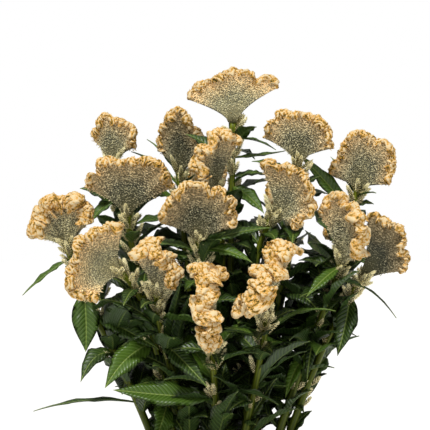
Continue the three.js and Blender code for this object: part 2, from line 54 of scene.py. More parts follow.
# %% [markdown]
# ## Camera, light and floor
#
# The photo shows the plant from the front and a little above, cut out on white. At the middle of
# the plant one pixel of the picture is one millimetre, so a camera 1.8 m away needs a lens that
# sees 430 mm there. The light is a broad sky with one large soft lamp above, because the ruffles
# are bright on top and the inside of the bush is nearly black.

# %% Camera, light and floor
VIEW = {"target": (-7, 0, 385), "distance": 1800, "elevation": 5, "seen": 430}
SENSOR = 36
# Angles in degrees: the lamp's own size, and where it stands
KEY_LIGHT = {"power": 3.4, "angle": 16, "azimuth": -20, "elevation": 60}
FILL_LIGHT = {"power": 0.5, "angle": 60, "azimuth": 25, "elevation": 15}
SKY = {"seen": 1.0, "light": 0.28, "glossy": 0.4}
FLOOR_RADIUS = 3.0


def direction(azimuth, elevation):
    """Unit vector from the plant towards a lamp: azimuth 0 is the front, elevation is above it."""
    a, e = math.radians(azimuth), math.radians(elevation)
    return np.array([math.sin(a) * math.cos(e), -math.cos(a) * math.cos(e), math.sin(e)])


def aim(thing, towards):
    """Puts an object's Z axis along a direction, so that its -Z axis looks back at the plant."""
    thing.rotation_mode = "QUATERNION"
    thing.rotation_quaternion = Vector(towards).to_track_quat("Z", "Y")


def add_camera():
    """A camera whose picture is as wide at the plant's middle as VIEW says."""
    camera = bpy.data.objects.new("camera", bpy.data.cameras.new("camera"))
    camera.data.sensor_width = SENSOR
    camera.data.lens = SENSOR * VIEW["distance"] / VIEW["seen"]
    back = direction(0, VIEW["elevation"])
    camera.location = (np.array(VIEW["target"]) + back * VIEW["distance"]) * MM
    aim(camera, back)
    bpy.context.scene.collection.objects.link(camera)
    bpy.context.scene.camera = camera
    return camera


def add_sun(name, light):
    """A far lamp: the larger its angle, the softer its shadows."""
    sun = bpy.data.objects.new(name, bpy.data.lights.new(name, "SUN"))
    sun.data.energy = light["power"]
    sun.data.angle = math.radians(light["angle"])
    aim(sun, direction(light["azimuth"], light["elevation"]))
    bpy.context.scene.collection.objects.link(sun)


def add_sky():
    """A white world: brighter to the eye than as a lamp, so that the backdrop is plain white."""
    world = bpy.data.worlds.new("white_sky")
    world.use_nodes = True
    tree = world.node_tree
    background = tree.nodes["Background"]
    background.inputs["Color"].default_value = (1, 1, 1, 1)
    path = tree.nodes.new("ShaderNodeLightPath")
    nodes = [tree.nodes.new("ShaderNodeMix") for _ in (0, 1)]
    rays = (("Is Glossy Ray", SKY["glossy"]), ("Is Camera Ray", SKY["seen"]))
    for node, (ray, level) in zip(nodes, rays):
        tree.links.new(path.outputs[ray], node.inputs[0])
        node.inputs[3].default_value = level
    nodes[0].inputs[2].default_value = SKY["light"]
    tree.links.new(nodes[0].outputs[0], nodes[1].inputs[2])
    tree.links.new(nodes[1].outputs[0], background.inputs["Strength"])
    bpy.context.scene.world = world


bpy.context.scene.view_settings.view_transform = "Standard"
camera = add_camera()
add_sun("key_light", KEY_LIGHT)
add_sun("fill_light", FILL_LIGHT)
add_sky()
print("lens in mm:", round(camera.data.lens, 1))

# %% [markdown]
# ## From arrays to meshes
#
# Every piece below is a set of points on a grid, worked out as whole arrays in millimetres. One
# helper turns such arrays into a mesh. A closed surface is a row of rings with a cap on each end:
# a stem, a leaf, the pot and even a crest are all of that kind.


# %% From arrays to meshes
def unit(vectors):
    """Vectors scaled to length 1, along the last axis."""
    return vectors / np.maximum(np.linalg.norm(vectors, axis=-1, keepdims=True), 1e-9)


def blend_between(a, b, share):
    """a where share is 0, b where it is 1, and evenly between."""
    return a + (b - a) * share


def smooth_step(low, high, x):
    """0 below low, 1 above high and an S-curve between: 3t^2 - 2t^3."""
    t = np.clip((x - low) / (high - low), 0, 1)
    return t * t * (3 - 2 * t)


def tube_faces(rings, sides):
    """Four-cornered faces between neighbouring rings of a grid of rings x sides points."""
    ring = np.arange(rings - 1)[:, None] * sides
    side = np.arange(sides)[None, :]
    after = (side + 1) % sides
    corners = [ring + side, ring + after, ring + sides + after, ring + sides + side]
    return np.stack(corners, -1).reshape(-1, 4)


def round_angles(count):
    """Angles that divide a full turn into this many steps."""
    return np.linspace(0, 2 * math.pi, count + 1)[:-1]


def turned_to(angle, side, over):
    """Directions at these angles, from side towards over."""
    return np.cos(angle)[..., None] * side + np.sin(angle)[..., None] * over


def rings_round(radii, heights, sides):
    """Rings of points round the Z axis: one ring for each radius and its height."""
    angle = round_angles(sides)
    radius, height = np.array(radii, float)[:, None], np.array(heights, float)[:, None]
    return np.stack([radius * np.cos(angle), radius * np.sin(angle), height + 0 * angle], -1)


def on_both_ends(strips, rings, sides):
    """Faces on the first ring, and the same ones turned over on the last."""
    return np.concatenate([strips, (rings - 1) * sides + strips[:, ::-1]])


def facing_out(part):
    """The part with its faces turned over if they enclose a negative volume."""
    a, b, c, d = (part["points"][part["faces"][:, k]] for k in range(4))
    volume = np.einsum("ij,ij->", a, np.cross(b, c)) + np.einsum("ij,ij->", a, np.cross(c, d))
    if volume < 0:
        part["faces"] = part["faces"][:, ::-1]
    return part


def tube_part(points, values=None):
    """A closed surface from a grid of rings x sides points: a tube, and across each end strips in
    which point k joins the one opposite it, -k. The number of sides is even."""
    rings, sides = points.shape[:2]
    k = np.arange(sides // 2 - 1)
    strips = np.stack([k, (sides - k) % sides, sides - 1 - k, k + 1], -1)
    faces = np.concatenate([tube_faces(rings, sides), on_both_ends(strips, rings, sides)])
    return facing_out({"points": points.reshape(-1, 3), "faces": faces, "values": values or {}})


def corner_lists(parts):
    """Corner numbers of the faces of all parts, face after face, and each face's corner count."""
    corners, counts, start = [], [], 0
    for part in parts:
        corners.append((part["faces"] + start).ravel())
        counts.append(np.full(len(part["faces"]), part["faces"].shape[1]))
        start += len(part["points"])
    return np.concatenate(corners), np.concatenate(counts)


def make_mesh(name, parts, material, smooth=True):
    """A mesh object from parts in millimetres: points, faces and values that become attributes."""
    points = np.concatenate([part["points"] for part in parts]) * MM
    corners, counts = corner_lists(parts)
    mesh = bpy.data.meshes.new(name)
    mesh.vertices.add(len(points))
    mesh.vertices.foreach_set("co", points.astype(np.float32).ravel())
    mesh.loops.add(len(corners))
    mesh.loops.foreach_set("vertex_index", corners.astype(np.int32))
    mesh.polygons.add(len(counts))
    starts = np.concatenate([[0], np.cumsum(counts)[:-1]])
    mesh.polygons.foreach_set("loop_start", starts.astype(np.int32))
    mesh.update(calc_edges=True)
    smooth_faces = [np.full(len(part["faces"]), part.get("smooth", smooth)) for part in parts]
    mesh.polygons.foreach_set("use_smooth", np.concatenate(smooth_faces))
    for key in parts[0]["values"]:
        values = np.concatenate([part["values"][key] for part in parts])
        mesh.attributes.new(key, "FLOAT", "POINT").data.foreach_set("value", values)
    mesh.materials.append(material)
    mesh.validate()
    piece = bpy.data.objects.new(name, mesh)
    bpy.context.scene.collection.objects.link(piece)
    return piece


def count_triangles(pieces):
    """Triangles in these pieces' meshes."""
    return sum(len(piece.data.loops) - 2 * len(piece.data.polygons) for piece in pieces)


# %% [markdown]
# ## The plan of the plant
#
# These are the measures that the solids were built from, in millimetres. A ruler gives each crest
# its foot on the stem, the top of the fan and its widest points. Repeating them here lets each
# finer surface be worked out as a formula and still lie exactly over its solid.

# %% The plan of the plant
CREST_COLUMNS = ("name", "pleat", "sweep", "foot", "top", "left", "right")
CREST_ROWS = [
    ("top", 4, 82, (11, 20, 477), (11, 20, 530), (-38, 26, 497), (58, 14, 509)),
    ("upper_right", 5, 100, (76, 0, 440), (76, -8, 490), (40, 10, 468), (113, -14, 458)),
    ("right", 5, 100, (137, 10, 412), (147, 4, 469), (108, 18, 431), (173, -2, 423)),
    ("upper_left", 4, 104, (-111, 40, 438), (-111, 38, 485), (-133, 46, 464), (-85, 34, 458)),
    ("back_left", 4, 104, (-43, 55, 425), (-43, 52, 489), (-67, 60, 456), (-19, 46, 448)),
    ("inner_left", 5, 104, (-6, -8, 411), (-18, -38, 459), (-25, -26, 424), (16, -16, 469)),
    ("left", 4, 98, (-93, -22, 388), (-94, -38, 446), (-137, -28, 420), (-45, -30, 420)),
    ("centre", 4, 104, (-22, -58, 368), (-22, -78, 423), (-62, -66, 390), (17, -64, 390)),
    ("inner_right", 5, 104, (54, -20, 388), (86, -48, 419), (40, -28, 442), (77, -42, 377)),
    ("far_left", 5, 104, (-153, -12, 354), (-162, -28, 411), (-196, -18, 371), (-128, -30, 390)),
    ("low_left", 5, 104, (-102, -62, 335), (-145, -96, 356), (-131, -88, 308), (-97, -82, 385)),
    ("low_inner_left", 8, 104, (-63, -78, 317), (-58, -104, 364), (-84, -92, 363), (-42, -98, 328)),
    ("front", 11, 104, (-10, -98, 267), (-14, -150, 320), (-10, -130, 271), (-14, -116, 353)),
    ("front_right", 11, 104, (40, -92, 296), (30, -138, 348), (11, -128, 311), (64, -100, 371)),
    ("low_right", 5, 104, (117, -32, 342), (128, -66, 401), (99, -30, 400), (139, -58, 354)),
    ("far_right", 4, 104, (140, -14, 323), (178, -20, 373), (149, -4, 385), (183, -16, 333)),
    ("rear_centre", 5, 104, (-16, 92, 391), (-16, 108, 445), (-35, 100, 418), (5, 96, 418)),
    ("rear_left", 4, 98, (-98, 80, 375), (-101, 100, 428), (-136, 84, 406), (-61, 92, 403)),
    ("rear_right", 5, 104, (130, 78, 335), (131, 96, 387), (107, 82, 364), (151, 84, 362)),
    ("rear_far_left", 5, 104, (-127, 72, 300), (-137, 94, 355), (-158, 76, 329), (-107, 86, 328)),
    ("rear_mid_left", 5, 104, (-36, 112, 351), (-32, 136, 398), (-57, 122, 378), (7, 124, 377)),
    ("rear_mid_right", 5, 100, (72, 92, 363), (68, 116, 419), (47, 102, 394), (95, 100, 390)),
    ("rear_low", 6, 104, (-2, 104, 236), (-7, 142, 278), (-26, 122, 255), (15, 122, 255)),
]
CRESTS = [dict(zip(CREST_COLUMNS, row)) for row in CREST_ROWS]

# Between two nodes of the solids
GAP = 0.3
SOIL_TOP = 138
# How far the stems spread at the soil, as shares of their crests' places, and how they bend
STEM = {
    "high_spread": 0.36, "low_spread": 0.5, "highest": 480, "upright": 0.35,
    "root_pull": 0.36, "neck_pull": 0.22, "root_radius": 4.1, "neck_radius": 2.7,
}
# Half a fan's thickness at its foot and rim, and how its sheet spreads, waves and folds
FAN = {
    "foot_half": 4.5, "rim_half": 1.6, "thinning": 0.7, "ray_spread": 1.5, "ray_rise": 0.9,
    "offset_blend": 3, "lobe": 0.04, "lobe_rate": 8, "slow_fold": 3.5, "slow_rate": 4,
}
# Each kind of draw has its own number, so that no two share their draws
DRAWS = {
    "crest_phase": 1, "first_azimuth": 2, "leaf_size": 10, "leaf_climb": 30, "leaf_roll": 50,
    "spike_azimuth": 70, "spike_length": 80,
}


def draw(i, k):
    """A repeatable draw between 0 and 1: the fraction left of a large multiple of a sine."""
    x = math.sin(i * 12.9898 + k * 78.233) * 43758.5453
    return x - math.floor(x)


def bezier(points, t):
    """Points of a Bezier curve at each t: neighbours are blended until one point is left."""
    level = [np.asarray(p, float)[None, :] for p in points]
    share = np.atleast_1d(t)[:, None]
    while len(level) > 1:
        level = [blend_between(a, b, share) for a, b in zip(level, level[1:])]
    return level[0]


def bezier_tangent(points, t):
    """Unit tangents of the curve: a Bezier curve of the steps between its control points."""
    steps = [np.asarray(b, float) - np.asarray(a, float) for a, b in zip(points, points[1:])]
    return unit(bezier(steps, t))


def line_length(line, steps):
    """Length of a Bezier curve, added up over this many points of it."""
    return np.linalg.norm(np.diff(bezier(line, np.linspace(0, 1, steps)), axis=0), axis=1).sum()


def crest_frame(crest, index):
    """A crest's own axes: v up its middle, u from left to right, n out of its front, with the
    half width, offset, shoulder height and skew of its rim, and how far its two ends bow."""
    foot, top, left, right = (np.array(crest[k], float) for k in ("foot", "top", "left", "right"))
    height = np.linalg.norm(top - foot)
    v = (top - foot) / height
    left, right = left - foot, right - foot
    u = unit((right - left) - v * np.dot(right - left, v))
    n = np.cross(u, v)
    return {
        **crest, "foot": foot, "u": u, "v": v, "n": n, "height": height,
        "sweep": math.radians(crest["sweep"]),
        "phase": 2 * math.pi * draw(index, DRAWS["crest_phase"]),
        "half_width": (right @ u - left @ u) / 2, "offset": (right @ u + left @ u) / 2,
        "shoulder": (right @ v + left @ v) / 2, "skew": (right @ v - left @ v) / 2,
        "bow_left": left @ n, "bow_right": right @ n,
    }


def stem_points(crest):
    """Control points of a stem's centre line: it leaves the soil on a small plan of the crests
    and meets the crest's foot along the crest's own axis."""
    end = crest["foot"] - GAP * crest["v"]
    rise = (end[2] - SOIL_TOP) / (STEM["highest"] - SOIL_TOP)
    spread = blend_between(STEM["low_spread"], STEM["high_spread"], rise)
    root = np.array([end[0] * spread, end[1] * spread, SOIL_TOP])
    length = np.linalg.norm(end - root)
    lean = unit(unit(end - root) + np.array([0, 0, STEM["upright"]]))
    neck = end - crest["v"] * length * STEM["neck_pull"]
    return [root, root + lean * length * STEM["root_pull"], neck, end]


plants = []
for index, row in enumerate(CRESTS):
    crest = crest_frame(row, index)
    line = stem_points(crest)
    plants.append({"index": index, "name": crest["name"], "crest": crest, "line": line})
print("plants:", len(plants))

# %% [markdown]
# ## Colours that vary
#
# No part of a plant or a pot has one flat colour. The finishes below all need the same thing, a
# slow mottling with a fine grain on top, so it is a node group with its own sockets and is placed
# in each material with other sizes and strengths.


# %% Colours that vary
def new_tree(name):
    """A material with only a Principled shader and its output."""
    material = bpy.data.materials.new(name)
    material.use_nodes = True
    return material, material.node_tree, material.node_tree.nodes["Principled BSDF"]


def add_node(tree, kind, values=None, **settings):
    """A node with its settings, and with values or links put on its inputs."""
    node = tree.nodes.new(kind)
    for key, value in settings.items():
        setattr(node, key, value)
    for key, value in (values or {}).items():
        if isinstance(value, bpy.types.NodeSocket):
            tree.links.new(value, node.inputs[key])
        else:
            node.inputs[key].default_value = value
    return node


def set_sockets(shader, values):
    """Numbers that are the same all over a surface, on the shader's own sockets."""
    for socket, value in values.items():
        shader.inputs[socket].default_value = value


def math_node(tree, operation, first, second=0.0, third=0.0):
    """The output of one Math node."""
    values = {0: first, 1: second, 2: third}
    return add_node(tree, "ShaderNodeMath", values, operation=operation).outputs[0]


def value_of(tree, attribute):
    """A piece's own attribute, as a number."""
    node = add_node(tree, "ShaderNodeAttribute", attribute_name=attribute)
    return node.outputs["Fac"]


def mix_colours(tree, share, first, second):
    """first where share is 0 and second where it is 1."""
    values = {"Factor": share, 6: first, 7: second}
    return add_node(tree, "ShaderNodeMix", values, data_type="RGBA").outputs[2]


def fade_node(tree, value, low, high, start, end):
    """start below low, end above high and an S-curve between."""
    values = {"Value": value, "From Min": low, "From Max": high, "To Min": start, "To Max": end}
    return add_node(tree, "ShaderNodeMapRange", values, interpolation_type="SMOOTHSTEP").outputs[0]


def ramp(tree, share, colours, stops):
    """Colours along a share. Each stop is a place and the name of a colour."""
    node = add_node(tree, "ShaderNodeValToRGB", {"Fac": share})
    elements = node.color_ramp.elements
    while len(elements) < len(stops):
        elements.new(0.5)
    for element, (place, name) in zip(elements, stops):
        element.position = place
        element.color = colours[name]
    return node.outputs["Color"]


def hexed(code):
    """The linear colour of a code such as 'f0d9a8'."""
    shown = [int(code[i:i + 2], 16) / 255 for i in (0, 2, 4)]
    linear = [c / 12.92 if c <= 0.04045 else ((c + 0.055) / 1.055) ** 2.4 for c in shown]
    return (*linear, 1)


def palette(**codes):
    """Named colours, from their codes."""
    return {name: hexed(code) for name, code in codes.items()}


def mottling_group():
    """Group: Share is 0.5 on average, and wanders with slow patches and a fine grain."""
    group = bpy.data.node_groups.new("mottling", "ShaderNodeTree")
    face = group.interface
    for name, value in (("Patch Scale", 30.0), ("Grain Scale", 600.0), ("Grain Share", 0.4)):
        face.new_socket(name, in_out="INPUT", socket_type="NodeSocketFloat").default_value = value
    face.new_socket("Share", in_out="OUTPUT", socket_type="NodeSocketFloat")
    entry, leave = group.nodes.new("NodeGroupInput"), group.nodes.new("NodeGroupOutput")
    place = add_node(group, "ShaderNodeTexCoord").outputs["Object"]
    patch_at = {"Vector": place, "Scale": entry.outputs["Patch Scale"], "Detail": 3.0}
    grain_at = {"Vector": place, "Scale": entry.outputs["Grain Scale"], "Detail": 2.0}
    patch = add_node(group, "ShaderNodeTexNoise", patch_at).outputs["Fac"]
    grain = add_node(group, "ShaderNodeTexNoise", grain_at).outputs["Fac"]
    both = {"Factor": entry.outputs["Grain Share"], 2: patch, 3: grain}
    mixed = add_node(group, "ShaderNodeMix", both).outputs[0]
    group.links.new(mixed, leave.inputs["Share"])
    return group


MOTTLING = mottling_group()


def mottled(tree, patch, grain, share):
    """The mottling group's output, with patches and grain this many to the metre."""
    values = {"Patch Scale": patch, "Grain Scale": grain, "Grain Share": share}
    return add_node(tree, "ShaderNodeGroup", values, node_tree=MOTTLING).outputs["Share"]


def add_bump(tree, shader, height, strength, distance):
    """Fine relief: height is a share of distance, in millimetres."""
    values = {"Height": height, "Strength": strength, "Distance": distance * MM}
    bump = add_node(tree, "ShaderNodeBump", values)
    tree.links.new(bump.outputs["Normal"], shader.inputs["Normal"])


print("group sockets:", [socket.name for socket in MOTTLING.interface.items_tree])

# %% [markdown]
# ## The finish of the crests
#
# A crest is velvety, without gloss. Its body is a dull straw over grey-green, and the grey-green
# between the florets is partly painted shade. Its comb is cream, and the flanks and pits of the
# folds are orange and brown: the orange flanks are the comb's own colour, and the brown deep in the
# folds is painted shade. Each crest's mesh carries four values for that: rim runs from 0 at the
# foot to 1 at the edge, crease is 1 deep in a fold, tone differs from floret to floret, and glow is
# the painted light of the whole crest, its florets and the skin alike: above 1 the crest is painted
# lighter as if lit, and below 1 it is painted darker as if in shade.

# %% The finish of the crests
# The skin shows between the florets: its dark grey-green is partly the body's own colour and partly
# painted shade in the gaps, and skin_rim, paler by the comb, is partly painted light against the
# shadow of the comb
CREST_COLOURS = palette(
    skin_foot="5c5a3e", skin="44453a", skin_rim="9a8a66", straw_foot="e8dcaa", straw="e0d9b0",
    peach="ffe4b2", cream="d9c499", flank="daa24c", fold="9a7c38", pit="3c361c",
)
# The value of rim from which the comb's colours show, and that from which they show alone
COMB_FROM = (0.86, 0.93)
# In each finish, mottling is patches and grain to the metre and the grain's part, a ramp is places
# and names of colours, other pairs are a factor and an offset, and bump is strength and height.
# Paleness and brightness set how strongly a crest's painted light shows in its body
CREST_FINISH = {
    "mottling": (60, 900, 0.6), "grain": (0.8, -0.76), "paleness": 0.45, "brightness": (0.6, 0.4),
    "patches": (1.6, -0.88), "from_tone": 0.25, "bump": (0.5, 0.6),
    "skin": ((0.0, "skin_foot"), (0.5, "skin"), (0.85, "skin_rim")),
    "straw": ((0.0, "straw_foot"), (0.45, "straw"), (0.8, "peach")),
    # The comb keeps its own cream and orange; the fold and pit colours deep in its creases are
    # painted shade
    "comb": ((0.34, "cream"), (0.52, "flank"), (0.68, "fold"), (0.88, "pit")),
    "sockets": {"Roughness": 0.9, "Specular IOR Level": 0.12},
}


def crest_material():
    """The body is skin where tone glow + 0.45 glow + 0.8 share - 0.76 is 0 and straw where it is 1,
    and share is the mottling. Its brightness is multiplied by 0.4 + 0.6 glow, so that glow paints
    light and shade over the whole body. The comb goes from cream to its pits with crease + tone / 4
    + 1.6 share - 0.88, and the dark colours deep in its creases are painted shade."""
    material, tree, shader = new_tree("crest_velvet")
    c, finish = CREST_COLOURS, CREST_FINISH
    names = ("rim", "crease", "tone", "glow")
    rim, crease, tone, glow = (value_of(tree, name) for name in names)
    share = mottled(tree, *finish["mottling"])
    skin = ramp(tree, rim, c, finish["skin"])
    straw = ramp(tree, rim, c, finish["straw"])
    grain = math_node(tree, "MULTIPLY_ADD", share, *finish["grain"])
    paleness = math_node(tree, "MULTIPLY_ADD", glow, finish["paleness"], grain)
    body = mix_colours(tree, math_node(tree, "MULTIPLY_ADD", tone, glow, paleness), skin, straw)
    value = math_node(tree, "MULTIPLY_ADD", glow, *finish["brightness"])
    body = add_node(tree, "ShaderNodeHueSaturation", {"Value": value, "Color": body}).outputs[0]
    patchy = math_node(tree, "MULTIPLY_ADD", share, *finish["patches"])
    toned = math_node(tree, "MULTIPLY_ADD", tone, finish["from_tone"], crease)
    comb = ramp(tree, math_node(tree, "ADD", toned, patchy), c, finish["comb"])
    on_comb = fade_node(tree, rim, *COMB_FROM, 0.0, 1.0)
    tree.links.new(mix_colours(tree, on_comb, body, comb), shader.inputs["Base Color"])
    set_sockets(shader, finish["sockets"])
    add_bump(tree, shader, share, *finish["bump"])
    return material


CREST_VELVET = crest_material()
print("made", CREST_VELVET.name)

# %% [markdown]
# ## How a comb folds
#
# The rim of a crest grows much faster than its foot, so it buckles into plump ridges that wind
# about like a labyrinth, as on brain coral. Such patterns follow a simple law: start from noise,
# let one wavelength grow, damp all others, and let a cubic term stop the growth. Solved with
# Fourier transforms it takes a second. One large sheet serves all crests, which take their own
# stretches of it. The plumpest combs look more like popcorn, so there are also round bumps, packed
# like bubbles in space, and each comb blends the two.

# %% How a comb folds
LABYRINTH = {
    "rows": 256, "columns": 512, "step": 0.5, "wave": 4.3, "growth": 0.6, "bias": 0.9,
    "time": 0.7, "rounds": 32, "start": 0.3, "kept": (2, 98), "warp": 0.95, "warp_size": 8,
}


def waves_of(shape, step):
    """Turns per millimetre down and along a sheet, as the Fourier transform orders them."""
    return np.fft.fftfreq(shape[0], step)[:, None], np.fft.rfftfreq(shape[1], step)[None, :]


def labyrinth(shape, rng):
    """A periodic sheet of winding ridges: d(field)/dt = growth field - (1 - k^2/wave^2)^2 field
    + bias field^2 - field^3. The damping is solved ahead in Fourier space, the rest is added."""
    down, along = waves_of(shape, LABYRINTH["step"])
    stray = 1 - (down ** 2 + along ** 2) * LABYRINTH["wave"] ** 2
    damping = 1 + LABYRINTH["time"] * stray ** 2
    field = rng.normal(0, LABYRINTH["start"], shape)
    for _ in range(LABYRINTH["rounds"]):
        push = LABYRINTH["growth"] * field + LABYRINTH["bias"] * field ** 2 - field ** 3
        field = np.fft.irfft2(np.fft.rfft2(field + LABYRINTH["time"] * push) / damping, shape)
    low, high = np.percentile(field, LABYRINTH["kept"])
    return np.clip((field - low) / (high - low), 0, 1)


def smooth_noise(shape, size, rng):
    """Periodic noise with a spread of 1: waves shorter than size are damped as a bell curve."""
    down, along = waves_of(shape, LABYRINTH["step"])
    bell = np.exp(-(down ** 2 + along ** 2) * size ** 2)
    noise = np.fft.irfft2(np.fft.rfft2(rng.normal(0, 1, shape)) * bell, shape)
    return noise / noise.std()


def look_up(field, x, y):
    """A periodic sheet at x along and y down in millimetres, blended between four neighbours."""
    rows, columns = field.shape
    y, x = y / LABYRINTH["step"], x / LABYRINTH["step"]
    i, j = np.floor(y).astype(int), np.floor(x).astype(int)
    corners = [field[(i + a) % rows, (j + b) % columns] for a in (0, 1) for b in (0, 1)]
    upper = blend_between(corners[0], corners[1], x - j)
    lower = blend_between(corners[2], corners[3], x - j)
    return blend_between(upper, lower, y - i)


def ridge_sheet(rng):
    """The labyrinth pushed about by smooth noise, so that its ridges swell and narrow."""
    shape = (LABYRINTH["rows"], LABYRINTH["columns"])
    field = labyrinth(shape, rng)
    down, along = np.indices(shape) * LABYRINTH["step"]
    push = [LABYRINTH["warp"] * smooth_noise(shape, LABYRINTH["warp_size"], rng) for _ in (0, 1)]
    return look_up(field, along + push[0], down + push[1])


def lumps_at(points):
    """Bumps packed like bubbles in space, for points in millimetres. A grid of seeds is jittered,
    and each point takes the distance to its second nearest seed less that to the nearest, which
    is 0 where two bubbles meet. Sines bend the walls, and the middle of a bubble is dimpled."""
    place = points / BUMPS["size"]
    place = place + BUMPS["warp"] * np.sin(BUMPS["warp_rate"] * np.roll(place, 1, axis=-1))
    cell = np.floor(place).astype(int)
    distances = []
    for step in np.ndindex(3, 3, 3):
        beside = cell + step - 1
        seed = BUBBLES[tuple(np.moveaxis(beside % BUMPS["cells"], -1, 0))]
        distances.append(np.linalg.norm(beside + seed - place, axis=-1))
    nearest = np.partition(distances, 1, axis=0)
    inside = np.clip((nearest[1] - nearest[0]) / BUMPS["flat_at"], 0, 1)
    return np.sqrt(inside) - BUMPS["dimple"] * inside ** 4


BUMPS = {
    "size": 5.6, "cells": 32, "jitter": 0.1, "flat_at": 0.6, "dimple": 0.18, "warp": 0.17,
    "warp_rate": 3.1,
}
BUBBLES = np.random.default_rng(SEEDS["bubbles"]).uniform(
    BUMPS["jitter"], 1 - BUMPS["jitter"], (BUMPS["cells"],) * 3 + (3,))
RIDGES = ridge_sheet(np.random.default_rng(SEEDS["folds"]))
print("ridge sheet", RIDGES.shape, "mean", round(float(RIDGES.mean()), 2))
print("bubbles", BUBBLES.shape[:3], "of", BUMPS["size"], "mm")

# %% [markdown]
# ## Fans and combs
#
# Each crest is one closed skin: up the front of the fan, round the thick comb that crowns it, and
# down the back. In cross section the comb is an oval. It is stretched and shifted by slow lobes
# along the rim, and the ridges stand out from it. Most crests show their broad side and a slim
# comb. A few face the camera with the comb itself, and there the oval is wide.

# %% Fans and combs
# In millimetres: the spacing of corners, half the height and width of the usual oval, the height
# of its ridges, the length of lobes and scallops, the sway to both sides, the dip between lobes
# and the grain. The tilt and the turn are in radians, stretch spreads the crests over the sheet
# of ridges, and the others are shares
COMB = {
    "spacing": 0.66, "rear_spacing": 0.95, "up": 2.0, "half": 3.5, "ridge": 2.2,
    "lobe_pitch": 15, "scallop_pitch": 6.5, "sway": 1.5, "dip": 1.8,
    "tilt": 0.5, "tilt_range": 0.6, "turn": math.radians(135), "neck": 0.38, "grain": 0.2,
    "edge": 1.013, "inset": 0.04, "rounding": 1.1, "blunt": 0.65, "least_end": 0.02,
    "fade": (1.0, 0.86), "rim": (0.9, 0.1), "stretch": 100,
}
# How a comb's measures grow with its width, each as a power of it
GROWTH = {"pitch": 0.25, "up": 0.4, "dip": 0.7, "ridge": 0.4, "tilt": -2}
# The slow lobes are two sines, and they and the scallops wander: these are their rates and depths
LOBES = {"first": 0.6, "second": 0.4, "second_rate": 0.61, "wander": (0.31, 1.3), "tilt_rate": 0.37}
SCALLOP_WANDER = (0.23, 1.7)
# How a slim comb and a plump one fold: the share of the lumps, the power that the ridges are
# raised to, which is low for round ones, how fine they are, and the depths of the slow lobes and
# of the scallops
FOLDS = {
    "lumps": (0.35, 0.8), "power": (0.8, 0.5), "scale": (1.3, 1.05), "lobe": (0.32, 0.45),
    "scallop": (0.26, 0.06), "plump_at": 2.2,
}
# The left end, the middle and the right end of a rim
RIM_PLACES = (-1, 0, 1)
# Half the comb's width at these three places, where it isn't the usual one
WIDE_COMBS = {
    "front": (5, 10, 13), "front_right": (8, 10, 11), "low_inner_left": (7, 10, 6),
    "inner_left": (7, 6, 4.5), "far_left": (7, 7, 5), "low_right": (4, 5, 7),
    "rear_low": (5.5, 5.5, 5.5),
}
# How many times higher a comb is than usual, seen from the broad side of its fan
HIGH_COMBS = {"far_left": 3.0, "low_left": 1.4, "upper_left": 1.2}
# How far a comb is bent out to the front of its fan at the same three places
BENDS = {"front": (-5, 0, 0), "front_right": (4, 9, -2)}
# Shares of the way from a fan's foot to its comb where the body has a row of corners
BODY = np.array([0, 0.14, 0.3, 0.46, 0.62, 0.77, 0.89, 0.975])
# How much painted light a crest gets, where it isn't the usual 1: above 1 it is painted lighter as
# if lit, and below 1 it is painted darker as if in shade
CREST_PAINTED_LIGHT = {
    "top": 1.2, "upper_right": 0.95, "low_left": 1.2, "far_left": 1.1, "left": 0.85,
    "far_right": 0.5, "back_left": 0.72, "right": 0.9, "centre": 0.8, "inner_right": 1.05,
}
REAR_FROM = 60
# The soft pleats of a fan's body: a wave this long whose depth grows with the fourth power of
# the reach, and the notches in its rim
PLEAT = {"length": 17, "share": 0.42, "most": 6}
NOTCH = {
    "count": 3, "places": (-0.75, 0.75), "widths": (0.04, 0.09), "deepest": 0.1, "depths": (0.3, 1),
}
RULER_STEPS = 200


def at_rear(crest):
    """True for a crest that faces the rear: its foot stands further back than REAR_FROM."""
    return crest["foot"][1] > REAR_FROM


def pleat_count(crest):
    """Pleats of a fan: its rim's length over a pleat's."""
    return crest.get("rim_length", 100) / PLEAT["length"]


def fan_sheet(crest, s, reach):
    """The middle sheet of a fan at s along the rim (-1 left to 1 right) and reach from foot (0) to
    rim (1). The rim is an ellipse with its own offset and skew, its radius waves by a few lobes,
    and the rays to it fan out of the foot. The sheet bows with reach^2, folds slowly with s, and
    is pleated by a sine of s that grows with reach^4."""
    t = s * crest["sweep"]
    lobes = 1 + FAN["lobe"] * np.sin(FAN["lobe_rate"] * s + crest["phase"])
    rim_u = (crest["half_width"] + crest["offset"] * np.tanh(FAN["offset_blend"] * s)) * np.sin(t)
    rim_v = crest["shoulder"] + (crest["height"] - crest["shoulder"]) * np.cos(t)
    rim_v = rim_v + crest["skew"] * np.sin(t)
    foot_u = FAN["foot_half"] * s
    bow = np.where(s < 0, crest["bow_left"], crest["bow_right"]) * s ** 2
    slow = FAN["slow_fold"] * np.sin(FAN["slow_rate"] * s + crest["phase"])
    pleat = PLEAT["share"] * min(crest["pleat"], PLEAT["most"])
    pleat = pleat * np.sin(math.pi * pleat_count(crest) * s + crest["phase"])
    u = foot_u + (rim_u * lobes - foot_u) * reach ** FAN["ray_spread"]
    v = rim_v * lobes * reach ** FAN["ray_rise"]
    return u, v, (bow + slow) * reach ** 2 + pleat * reach ** 4


def sheet_frame(crest, s, reach):
    """Points of the middle sheet with the directions towards the rim and out of the front."""
    step = 0.004
    here, above, beside = (np.stack(fan_sheet(crest, *at), -1) for at in (
        (s, reach), (s, reach + step), (s + step, reach)))
    upward, across = unit(above - here), unit(beside - here)
    return here, upward, across, unit(np.cross(across, upward))


